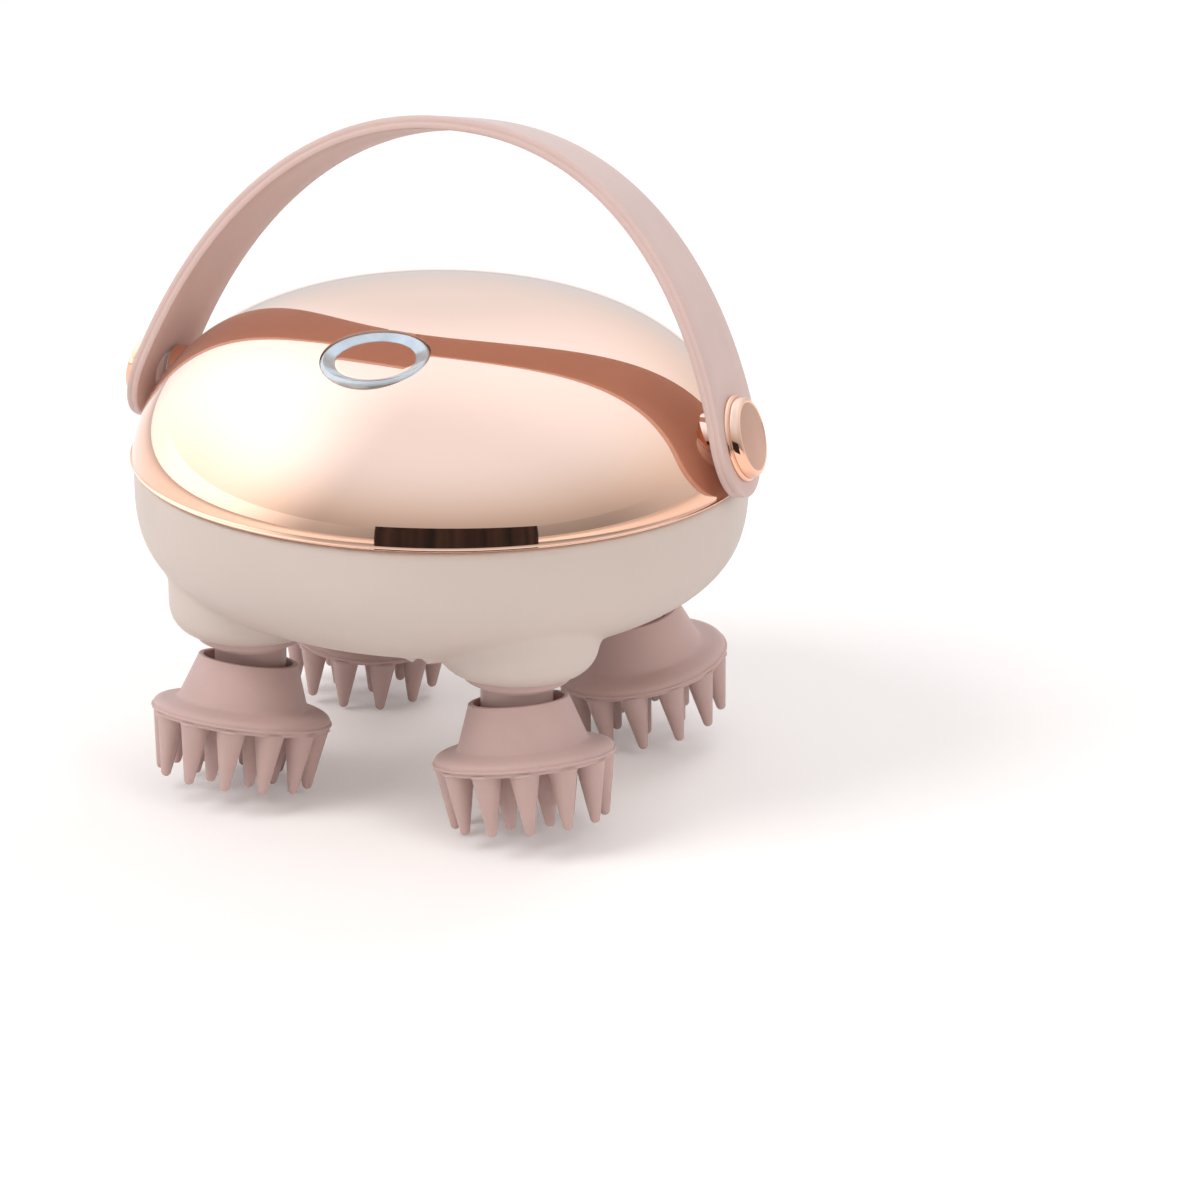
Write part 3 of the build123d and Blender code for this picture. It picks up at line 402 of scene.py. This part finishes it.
def dome_outline():
    """The dome's skin from its top to the rim, the rolled lip, and the inner wall back up."""
    outer_steps = 90
    inner_steps = 24
    bead = 0.00018
    fillet = 0.0001
    lip_top = SEAM + RIM_HEIGHT
    inner_radius = DOME_RADIUS - DOME_WALL
    outline = []
    for k in range(outer_steps + 1):
        radius = DOME_RADIUS * math.sin(math.pi / 2 * k / outer_steps)
        height = SEAM + dome_rise(radius)
        if height > lip_top + fillet:
            outline.append((radius, height))
    outline.append((RIM_RADIUS - 0.0003, lip_top))
    outline += arc((RIM_RADIUS - bead, lip_top - bead), bead, 90, 0, 4)
    outline += [(RIM_RADIUS, SEAM + bead), (RIM_RADIUS - bead, SEAM), (inner_radius, SEAM)]
    for k in range(inner_steps, -1, -1):
        radius = inner_radius * math.sin(math.pi / 2 * k / inner_steps)
        rise = dome_rise(radius, inner_radius, DOME_HEIGHT - DOME_WALL)
        if rise > 0:
            outline.append((radius, SEAM + rise))
    return outline


def button_place():
    """Frame on the dome's skin at the button, with its Z axis out of the skin."""
    spot = Vector((0, -BUTTON_OFFSET, SEAM + dome_rise(BUTTON_OFFSET)))
    return Matrix.Translation(spot) @ Matrix.Rotation(BUTTON_TILT, 4, "X")


def make_dome():
    """The dome, with a round hole cut for the button's ring."""
    dome = lathed("dome_cover", dome_outline(), steps=320, angle=40)
    bpy.ops.object.select_all(action="DESELECT")
    bpy.ops.mesh.primitive_cylinder_add(vertices=160, radius=RING_RADIUS + RING_GAP, depth=0.02)
    cutter = bpy.context.active_object
    set_place(cutter, button_place())
    apply_modifier(dome, "BOOLEAN", operation="DIFFERENCE", object=cutter, solver="EXACT")
    bpy.data.objects.remove(cutter)
    smooth_all(dome, 40)
    wear(dome, rose_gold_plate)
    stand_for(dome, "top_shell")


# ---- Button and its ring ----------------------------------------------------------------------
def make_light_ring():
    """A clear ring flush with the dome, whose face slopes in towards the button."""
    low = -0.006
    top = -RING_SINK
    lip = 0.00012
    slope = 0.0005
    outline = [
        (RING_BORE, low),
        (RING_RADIUS, low),
        (RING_RADIUS, top - 4 * lip),
        (RING_RADIUS - lip, top - 2 * lip),
        (RING_RADIUS - 3 * lip, top),
        (RING_RADIUS - 5 * lip, top + 0.00004),
        (RING_RADIUS - 6 * lip, top - 0.00002),
        (RING_BORE + 4 * lip, top - 0.8 * slope),
        (RING_BORE + lip, top - slope),
        (RING_BORE, top - 1.2 * slope),
        (RING_BORE, low),
    ]
    ring = lathed("light_ring_trim", outline, steps=160, angle=12)
    set_place(ring, button_place())
    wear(ring, clear_ring)
    stand_for(ring, "light_ring")


def make_button():
    """The button: a mirror cap with a slight crown and a rounded edge."""
    edge = 0.00012
    skirt = 0.004
    outline = crowned(BUTTON_RADIUS - edge, -BUTTON_SINK, 0.00016, 12)
    outline += arc((BUTTON_RADIUS - edge, -BUTTON_SINK - edge), edge, 90, 0, 5)[1:]
    outline += [(BUTTON_RADIUS, -BUTTON_SINK - skirt), (0, -BUTTON_SINK - skirt)]
    button = lathed("power_button_cap", outline, steps=160, angle=40)
    set_place(button, button_place())
    wear(button, rose_gold_plate)
    stand_for(button, "power_button")


# ---- Strap, its pivots and its caps -----------------------------------------------------------
def strap_section(angle):
    """Middle point of the strap at a curve angle and its outward direction, upright."""
    power = 2 / STRAP_POWER
    c, s = math.cos(angle), math.sin(angle)
    x = STRAP_HALF_SPAN * math.copysign(abs(c) ** power, c)
    z = STRAP_RISE * abs(s) ** power
    across = math.copysign(abs(x / STRAP_HALF_SPAN) ** (STRAP_POWER - 1), x) / STRAP_HALF_SPAN
    up = (z / STRAP_RISE) ** (STRAP_POWER - 1) / STRAP_RISE
    length = math.hypot(across, up)
    return Vector((x, 0, PIVOT - STRAP_DROP + z)), Vector((across / length, 0, up / length))


def strap_angle(height):
    """Curve angle on the right-hand side at a height."""
    return math.asin(((height - PIVOT + STRAP_DROP) / STRAP_RISE) ** (STRAP_POWER / 2))


def strap_rim(half_width):
    """Outline across the strap: (side, out) pairs with rounded edges and a fine parting groove."""
    edge = min(STRAP_EDGE, half_width / 2)
    flat = STRAP_HALF_THICKNESS - edge
    right = [
        (half_width - edge, -STRAP_HALF_THICKNESS),
        (half_width - 0.3 * edge, -STRAP_HALF_THICKNESS + 0.3 * edge),
        (half_width, -flat),
        (half_width, -2 * STRAP_GROOVE),
        (half_width - STRAP_GROOVE, -0.5 * STRAP_GROOVE),
        (half_width - STRAP_GROOVE, 0.5 * STRAP_GROOVE),
        (half_width, 2 * STRAP_GROOVE),
        (half_width, flat),
        (half_width - 0.3 * edge, STRAP_HALF_THICKNESS - 0.3 * edge),
        (half_width - edge, STRAP_HALF_THICKNESS),
    ]
    middle = [(half_width * k / 4, STRAP_HALF_THICKNESS) for k in (2, 0, -2)]
    left = [(-side, out) for side, out in reversed(right)]
    return right + middle + left + [(side, -out) for side, out in reversed(middle)]


def leaned():
    """Turns the upright strap back about its pivots."""
    up = Matrix.Translation((0, 0, PIVOT))
    return up @ Matrix.Rotation(-STRAP_LEAN, 4, "X") @ up.inverted()


def strap_stations():
    """Curve angles along the strap, closer together round its two feet."""
    foot_steps = 24
    span_steps = 70
    reach = STRAP_FOOT * 0.9995
    foot = []
    for k in range(foot_steps + 1):
        foot.append(strap_angle(PIVOT - reach * math.cos(math.pi / 2 * k / foot_steps)))
    span = [foot[-1] + (math.pi / 2 - foot[-1]) * k / span_steps for k in range(1, span_steps + 1)]
    half = foot + span
    return half + [math.pi - angle for angle in reversed(half[:-1])]


def strap_half_width(rise):
    """Half the strap's width at a height over the pivots: round at the foot, narrower at the top."""
    if rise < 0:
        return math.sqrt(max(1e-9, STRAP_FOOT**2 - rise**2))
    top = STRAP_RISE - STRAP_DROP + STRAP_THICKNESS
    return STRAP_FOOT + (STRAP_TOP_HALF_WIDTH - STRAP_FOOT) * rise / top


def make_strap():
    """The strap: a grid wrapped round its section at each station, closed at both feet."""
    stations = strap_stations()
    across = len(strap_rim(STRAP_FOOT))
    bpy.ops.object.select_all(action="DESELECT")
    bpy.ops.mesh.primitive_grid_add(x_subdivisions=across, y_subdivisions=len(stations) - 1, size=1)
    strap = bpy.context.active_object
    strap.name = "carrying_strap"
    for row, angle in enumerate(stations):
        middle, outward = strap_section(angle)
        rim = strap_rim(strap_half_width(middle.z - PIVOT))
        for column in range(across + 1):
            side, out = rim[column % across]
            vertex = strap.data.vertices[row * (across + 1) + column]
            vertex.co = middle + outward * out + Vector((0, side, 0))
    choose(strap)
    bpy.ops.object.mode_set(mode="EDIT")
    bpy.ops.mesh.select_all(action="SELECT")
    bpy.ops.mesh.remove_doubles(threshold=WELD)
    bpy.ops.mesh.select_all(action="DESELECT")
    bpy.ops.mesh.select_non_manifold()
    bpy.ops.mesh.fill()
    bpy.ops.mesh.select_all(action="SELECT")
    bpy.ops.mesh.normals_make_consistent(inside=False)
    bpy.ops.object.mode_set(mode="OBJECT")
    set_place(strap, leaned())
    smooth_all(strap, 40)
    wear(strap, pink_strap)
    stand_for(strap, "strap")


def pivot_outlines():
    """What sits on a pivot pin, in section, with heights along the pin from the dome's axis."""
    edge = 0.0003
    soft = 0.0001
    flare = 0.0010
    bore = PIN_RADIUS + 0.00005
    land_back = PIVOT_FACE - 0.0060
    washer_back = PIVOT_FACE + 0.00003
    washer_face = PIVOT_FACE + WASHER_THICKNESS
    boss_foot = washer_face + 0.0001
    boss_root = strap_section(strap_angle(PIVOT))[0].x
    strap_back = boss_root - STRAP_HALF_THICKNESS
    land = [
        (bore, PIVOT_FACE), (PIVOT_LAND - edge, PIVOT_FACE), (PIVOT_LAND, PIVOT_FACE - edge),
        (PIVOT_LAND, land_back), (bore, land_back), (bore, PIVOT_FACE),
    ]
    washer = [
        (bore, washer_face), (WASHER_RADIUS - soft, washer_face), (WASHER_RADIUS, washer_face - soft),
        (WASHER_RADIUS, washer_back), (bore, washer_back), (bore, washer_face),
    ]
    boss = [
        (bore, boss_root),
        (WASHER_RADIUS + flare, boss_root),
        (WASHER_RADIUS + 0.8 * flare, strap_back - soft),
        (WASHER_RADIUS + soft, strap_back - 0.8 * flare),
        (WASHER_RADIUS - soft, boss_foot + edge),
        (WASHER_RADIUS - soft - edge, boss_foot),
        (bore, boss_foot),
        (bore, boss_root),
    ]
    return land, washer, boss


def make_pivots():
    """Each pivot's land on the dome, the washer that turns against it, and the strap's boss."""
    land, washer, boss = pivot_outlines()
    kinds = (
        ("pivot_land_", land, rose_gold_plate, "top_shell", "rose_gold_plate"),
        ("pivot_washer_", washer, white_nylon, "pivot_washers", "white_nylon"),
        ("strap_boss_", boss, pink_strap, "strap", "pink_strap"),
    )
    for side, turn in (("right", 90), ("left", -90)):
        place = Matrix.Translation((0, 0, PIVOT)) @ Matrix.Rotation(math.radians(turn), 4, "Y")
        for name, outline, finish, node, slot in kinds:
            piece = lathed(name + side, outline, steps=96)
            set_place(piece, place)
            wear(piece, finish)
            move_with(piece, node)
            if node == "pivot_washers" and side == "right":
                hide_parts(node)


def cap_place(side):
    """Frame on the strap's outer face at a pivot, Z out of the strap; side is 1 right, -1 left."""
    middle, outward = strap_section(strap_angle(PIVOT))
    spot = middle + outward * STRAP_HALF_THICKNESS
    spot.x *= side
    outward.x *= side
    turn = Vector((0, 0, 1)).rotation_difference(outward).to_matrix().to_4x4()
    return leaned() @ Matrix.Translation(spot) @ turn


def cap_outline():
    """A cap in section: rounded flange, convex side, narrow bead and crowned face."""
    bead = 0.00045
    step = 0.00004
    side_foot = CAP_RADIUS - 0.00042
    side_run = side_foot - CAP_FACE_RADIUS
    side_low = 0.00062
    side_rise = 0.00160
    bead_top = 0.00236
    face_height = 0.00228
    outline = [(0, -CAP_SEAT)]
    outline += arc((CAP_RADIUS - bead, bead - CAP_SEAT), bead, -90, 70, 12)
    outline += [(side_foot, side_low - 0.00006), (side_foot - step, side_low)]
    for k in range(1, 11):
        turn = math.pi / 2 * k / 12
        outline.append((side_foot - side_run * (1 - math.cos(turn)), side_low + side_rise * math.sin(turn)))
    outline += [(CAP_FACE_RADIUS - 0.00022, bead_top), (CAP_FACE_RADIUS - 0.00036, bead_top)]
    outline += reversed(crowned(CAP_FACE_RADIUS - 0.00050, face_height, 0.00018, 8))
    return outline


def make_caps():
    """The round metal caps, polished outside and satin on the face."""
    outline = cap_outline()
    for name, side in (("right", 1), ("left", -1)):
        cap = lathed("strap_cap_" + name, outline, steps=128, angle=20)
        wear(cap, rose_gold_polish, rose_gold_satin)
        for face in cap.data.polygons:
            inside = face.center.xy.length < CAP_FACE_RADIUS - 0.0004
            if inside and face.normal.z > 0.9 and face.center.z > 0:
                face.material_index = 1
        set_place(cap, cap_place(side))
        move_with(cap, "strap_caps")
        if name == "right":
            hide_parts("strap_caps")


# ---- Lower shell, spindles and heads ----------------------------------------------------------
def make_lower_shell():
    """A finer skin over the CAD shell: merged, cut level at the boss ends, remeshed and smoothed."""
    shell = bpy.data.objects.new("lower_shell", frame["nodes"]["base_shell"].data.copy())
    bpy.context.scene.collection.objects.link(shell)
    choose(shell)
    bpy.ops.object.mode_set(mode="EDIT")
    bpy.ops.mesh.select_all(action="SELECT")
    bpy.ops.mesh.remove_doubles(threshold=2 * WELD)
    bpy.ops.mesh.select_all(action="SELECT")
    bpy.ops.mesh.bisect(plane_co=(0, 0, BOSS_END), plane_no=(0, 0, 1), use_fill=True, clear_inner=True)
    bpy.ops.object.mode_set(mode="OBJECT")
    apply_modifier(shell, "REMESH", mode="VOXEL", voxel_size=0.0007)
    apply_modifier(shell, "SMOOTH", factor=0.5, iterations=6)
    smooth_all(shell)
    wear(shell, cream_shell)
    stand_for(shell, "base_shell")


def head_outline():
    """Plate and collar in section, with heights measured from the plate's rim."""
    skirt = PLATE_RADIUS - 0.0005
    bead = 0.00028
    bead_height = -0.00022
    plate_top = 0.00026
    swell_middle = PLATE_RADIUS - 0.0030
    swell_run = 0.00264
    swell_rise = 0.00130
    foot = COLLAR_BASE_RADIUS + 0.0009
    round_lip = 0.0003
    inner = COLLAR_MOUTH_RADIUS - COLLAR_WALL
    # Underside and skirt
    outline = [
        (0, -PLATE_SKIRT),
        (skirt - 0.0003, -PLATE_SKIRT),
        (skirt - 0.0001, 0.0001 - PLATE_SKIRT),
        (skirt, 0.0003 - PLATE_SKIRT),
        (skirt, bead_height - 0.00036),
    ]
    # Bead round the rim, and the plate's convex top
    outline += arc((PLATE_RADIUS - bead, bead_height), bead, -70, 100, 10)
    outline += [(PLATE_RADIUS - 0.00034, 0.00014), (PLATE_RADIUS - 0.00036, plate_top)]
    for k in range(1, 13):
        turn = math.pi / 2 * k / 14
        outline.append((swell_middle + swell_run * math.cos(turn), plate_top + swell_rise * math.sin(turn)))
    # Hollow at the collar's foot, its cone and its rounded mouth
    outline += [
        (foot, 0.00175),
        (foot - 0.0005, 0.00190),
        (foot - 0.0008, 0.00215),
        (foot - 0.0010, 0.00260),
        (COLLAR_BASE_RADIUS - 0.0002, 0.00300),
        (COLLAR_MOUTH_RADIUS + 0.00012, COLLAR_HEIGHT - 0.0007),
        (COLLAR_MOUTH_RADIUS, COLLAR_HEIGHT - round_lip),
    ]
    outline += arc((COLLAR_MOUTH_RADIUS - round_lip, COLLAR_HEIGHT - round_lip), round_lip, 30, 90, 4)
    # Back down inside the collar
    outline += [
        (inner + 0.0003, COLLAR_HEIGHT),
        (inner + 0.0001, COLLAR_HEIGHT - 0.0001),
        (inner, COLLAR_HEIGHT - 0.0004),
        (inner - 0.0002, 0.0001),
        (0, 0.0001),
    ]
    return outline


def tooth_outline():
    """One tooth in section: a flared root inside the plate, a long cone and a round tip."""
    root = -PLATE_SKIRT
    sunk = 0.0004
    outline = [
        (0, root + sunk),
        (TOOTH_ROOT_RADIUS + 0.00010, root + sunk),
        (TOOTH_ROOT_RADIUS + 0.00030, root),
        (TOOTH_ROOT_RADIUS + 0.00010, root - 0.00012),
        (TOOTH_ROOT_RADIUS - 0.00005, root - sunk),
    ]
    return outline + arc((0, TOOTH_TIP_RADIUS - TOOTH_END), TOOTH_TIP_RADIUS, -10, -90, 8)


def head_place(corner):
    """Frame at the middle of a head's rim, its Z axis up the leaning crank pin."""
    side_x, side_y, teeth_on = CORNERS[corner]
    crank = Matrix.Translation((side_x * SPINDLE_OFFSET, side_y * SPINDLE_OFFSET, CRANK_HEIGHT))
    lean = Matrix.Rotation(math.radians(45 + teeth_on * 360 / SPINDLE_TEETH), 4, "Z")
    tilt = Matrix.Rotation(-CRANK_TILT, 4, "Y")
    return crank @ lean @ tilt @ Matrix.Translation((0, 0, -CRANK_TO_RIM))


def make_heads():
    """The claw heads: one plate and its rings of teeth, joined and copied to the four corners."""
    plate = lathed("claw_plate", head_outline(), steps=144, angle=32)
    tooth = lathed("claw_tooth", tooth_outline(), steps=32, angle=60)
    parts = [plate]
    for count, radius in TOOTH_RINGS:
        for k in range(count):
            turn = 2 * math.pi * k / count
            spot = (radius * math.cos(turn), radius * math.sin(turn), 0)
            parts.append(copy_of(tooth, Matrix.Translation(spot)))
    bpy.data.objects.remove(tooth)
    joined(parts)
    wear(plate, pink_silicone)
    for corner in CORNERS:
        head = copy_of(plate, head_place(corner))
        head.name = "claw_" + corner
        stand_for(head, "claw_head_" + corner)
    bpy.data.objects.remove(plate)


def make_stub_collars():
    """The stepped ring under each boss, round its spindle."""
    bore = 0.00636
    wide = 0.0094
    narrow = 0.0074
    edge = 0.0003
    top = BOSS_END + 0.0012
    step = BOSS_END - 0.0018
    low = BOSS_END - 0.0029
    outline = [
        (bore, top),
        (wide, top),
        (wide, step + 2 * edge),
        (wide - 0.3 * edge, step + 0.5 * edge),
        (wide - edge, step),
        (narrow + 0.5 * edge, step),
        (narrow, step - 0.5 * edge),
        (narrow, low + edge),
        (narrow - 0.3 * edge, low + 0.3 * edge),
        (narrow - edge, low),
        (bore, low),
        (bore, top),
    ]
    collar = lathed("stub_collar", outline, steps=128, angle=30)
    rings = []
    for side_x, side_y, _ in CORNERS.values():
        spot = (side_x * SPINDLE_OFFSET, side_y * SPINDLE_OFFSET, 0)
        rings.append(copy_of(collar, Matrix.Translation(spot)))
    bpy.data.objects.remove(collar)
    collars = joined(rings)
    collars.name = "stub_collars"
    wear(collars, pink_plastic)
    stand_for(collars, "seal_retainers")


# ---- Studio -----------------------------------------------------------------------------------
def along(tree, direction, axis):
    """How far a direction points along an axis, from -1 to 1."""
    dot = tree.nodes.new("ShaderNodeVectorMath")
    dot.operation = "DOT_PRODUCT"
    dot.inputs[1].default_value = axis
    tree.links.new(direction, dot.inputs[0])
    return dot.outputs["Value"]


def combined(tree, operation, first, second):
    """Two values added, multiplied or compared."""
    maths = tree.nodes.new("ShaderNodeMath")
    maths.operation = operation
    tree.links.new(first, maths.inputs[0])
    tree.links.new(second, maths.inputs[1])
    return maths.outputs["Value"]


def remainder(tree, value):
    """What is left of 1."""
    maths = tree.nodes.new("ShaderNodeMath")
    maths.operation = "SUBTRACT"
    maths.inputs[0].default_value = 1
    tree.links.new(value, maths.inputs[1])
    return maths.outputs["Value"]


def lamp(name, place, size, power, colour):
    """A round soft lamp aimed at the object and unseen in its reflections."""
    light = bpy.data.lights.new(name, "AREA")
    light.shape = "DISK"
    light.size = size
    light.energy = power
    light.color = colour
    holder = bpy.data.objects.new(name, light)
    bpy.context.scene.collection.objects.link(holder)
    aim = Vector((0, 0, 0.05)) - Vector(place)
    holder.matrix_world = Matrix.Translation(place) @ aim.to_track_quat("-Z", "Y").to_matrix().to_4x4()
    holder.visible_glossy = False


def make_flag():
    """A low black flag that stands in front and is seen only in the rim of the dome."""
    width = 0.186
    height = 0.092
    distance = 0.19
    aside = 0.027
    turn = math.radians(22)
    bpy.ops.object.select_all(action="DESELECT")
    bpy.ops.mesh.primitive_plane_add(size=1)
    flag = bpy.context.active_object
    flag.name = "dark_flag"
    upright = Matrix.Rotation(math.radians(90), 4, "X") @ Matrix.Diagonal((width, height, 1, 1))
    stand = Matrix.Translation((aside, -distance, height / 2)) @ upright
    set_place(flag, Matrix.Rotation(turn, 4, "Z") @ stand)
    black, tree, shader = new_material("black_cloth")
    place = tree.nodes.new("ShaderNodeTexCoord")
    pleats = tree.nodes.new("ShaderNodeTexNoise")
    pleats.noise_dimensions = "1D"
    pleats.inputs["Scale"].default_value = 70
    pleats.inputs["Detail"].default_value = 1.5
    across = along(tree, place.outputs["Object"], (math.cos(turn), math.sin(turn), 0))
    tree.links.new(across, pleats.inputs["W"])
    tinted(tree, shader, pleats.outputs["Fac"], (0.002, 0.0012, 0.001), (0.045, 0.030, 0.026))
    shader.inputs["Roughness"].default_value = 0.9
    wear(flag, black)
    flag.visible_camera = False
    flag.visible_diffuse = False
    flag.visible_shadow = False


def make_floor():
    """A pale floor, a little brighter to the eye and in mirrors than the light alone makes it."""
    width = 6
    drop = 0.0001
    lift = 0.14
    bpy.ops.object.select_all(action="DESELECT")
    bpy.ops.mesh.primitive_plane_add(size=1)
    floor = bpy.context.active_object
    floor.name = "floor"
    set_place(floor, Matrix.Translation((0, 0, -drop)) @ Matrix.Diagonal((width, width, 1, 1)))
    paper = made_of(
        "floor_paper", (0.90, 0.87, 0.86), spot=0.005, patch=5, grain_depth=0, roughness=(0.7, 0.8)
    )
    tree = paper.node_tree
    shader = tree.nodes["Principled BSDF"]
    path = tree.nodes.new("ShaderNodeLightPath")
    shown = combined(tree, "MAXIMUM", path.outputs["Is Camera Ray"], path.outputs["Is Glossy Ray"])
    shader.inputs["Emission Color"].default_value = (1, 1, 1, 1)
    tree.links.new(stepped(tree, shown, 0, 1, 0, lift), shader.inputs["Emission Strength"])
    wear(floor, paper)


def studio_level(tree, direction):
    """The studio as polished metal sees it: white overhead, a softbox at the left, a duller table."""
    rise = along(tree, direction, (0, 0, 1))
    sky = stepped(tree, rise, -0.1, 1.0, 0.39, 1.16)
    softbox = stepped(tree, along(tree, direction, (-0.95, -0.05, 0.30)), 0.42, 1.0, 0, 1.05)
    wall = stepped(tree, along(tree, direction, (0, 1, 0)), -0.2, 0.9, 0, 0.36)
    level = combined(tree, "ADD", combined(tree, "ADD", sky, softbox), wall)
    low = stepped(tree, rise, 0.165, 0.175, 1, 0)
    front = stepped(tree, along(tree, direction, (0, 1, 0)), -0.1, 0.4, 1, 0)
    dimming = stepped(tree, along(tree, direction, (1, 0, 0)), -0.7, 0.3, -0.35, 0.16)
    table = combined(tree, "MULTIPLY", combined(tree, "MULTIPLY", low, front), dimming)
    return combined(tree, "MULTIPLY", level, remainder(tree, table))


def background(tree, colour, strength):
    node = tree.nodes.new("ShaderNodeBackground")
    node.inputs["Color"].default_value = (*colour, 1)
    node.inputs["Strength"].default_value = strength
    return node


def chosen(tree, share, first, second):
    """The first shader, or the second where the share is 1."""
    mix = tree.nodes.new("ShaderNodeMixShader")
    tree.links.new(share, mix.inputs["Fac"])
    tree.links.new(first, mix.inputs[1])
    tree.links.new(second, mix.inputs[2])
    return mix.outputs["Shader"]


def make_world():
    """A pale room: white behind the object, softer as light, shaped for reflections."""
    world = bpy.data.worlds.new("studio")
    bpy.context.scene.world = world
    world.use_nodes = True
    tree = world.node_tree
    tree.nodes.clear()
    out = tree.nodes.new("ShaderNodeOutputWorld")
    path = tree.nodes.new("ShaderNodeLightPath")
    direction = tree.nodes.new("ShaderNodeTexCoord").outputs["Generated"]
    seen = background(tree, (1, 1, 1), 1.0)
    light = background(tree, (1.0, 0.975, 0.965), 0.52)
    mirrored = background(tree, (1, 1, 1), 1.0)
    climb = stepped(tree, along(tree, direction, (0, 0, 1)), 0.15, 0.85, 0, 1)
    tint = blended(tree, climb, (0.98, 1.06, 1.12), (0.86, 1.08, 1.32))
    tree.links.new(tint, mirrored.inputs["Color"])
    tree.links.new(studio_level(tree, direction), mirrored.inputs["Strength"])
    lighting = chosen(
        tree, path.outputs["Is Glossy Ray"], light.outputs["Background"], mirrored.outputs["Background"]
    )
    picture = chosen(tree, path.outputs["Is Camera Ray"], lighting, seen.outputs["Background"])
    tree.links.new(picture, out.inputs["Surface"])


def make_camera():
    """A long lens, a little above and to the right of the button."""
    azimuth = math.radians(22.05)
    elevation = math.radians(18.93)
    roll = math.radians(0.78)
    aim = Vector((0, 0, 0.0624))
    distance = 0.9821
    move_right = 0.02775
    move_up = -0.03041
    flat = Vector((math.sin(azimuth), -math.cos(azimuth), 0))
    back = math.cos(elevation) * flat + Vector((0, 0, math.sin(elevation)))
    level = Vector((math.cos(azimuth), math.sin(azimuth), 0))
    upright = back.cross(level)
    right = math.cos(roll) * level + math.sin(roll) * upright
    up = -math.sin(roll) * level + math.cos(roll) * upright
    data = bpy.data.cameras.new("camera")
    data.sensor_width = 36
    data.lens = 167.34
    data.clip_start = 0.01
    data.clip_end = 20
    camera = bpy.data.objects.new("camera", data)
    bpy.context.scene.collection.objects.link(camera)
    turn = Matrix((right, up, back)).transposed().to_4x4()
    place = aim + back * distance + right * move_right + up * move_up
    camera.matrix_world = Matrix.Translation(place) @ turn
    bpy.context.scene.camera = camera


def make_studio():
    make_floor()
    make_world()
    lamp("key_lamp", (-0.55, -0.60, 0.85), 0.70, 7.0, (1.0, 0.985, 0.97))
    lamp("fill_lamp", (0.75, -0.35, 0.50), 0.60, 2.4, (1.0, 0.96, 0.93))
    lamp("back_lamp", (0.10, 0.80, 0.75), 0.60, 3.2, (1.0, 0.98, 0.97))
    make_flag()


bpy.context.scene.view_settings.view_transform = "Standard"
dress_cad_nodes()
make_dome()
make_pivots()
make_light_ring()
make_button()
make_strap()
make_caps()
make_lower_shell()
make_heads()
make_stub_collars()
make_studio()
make_camera()
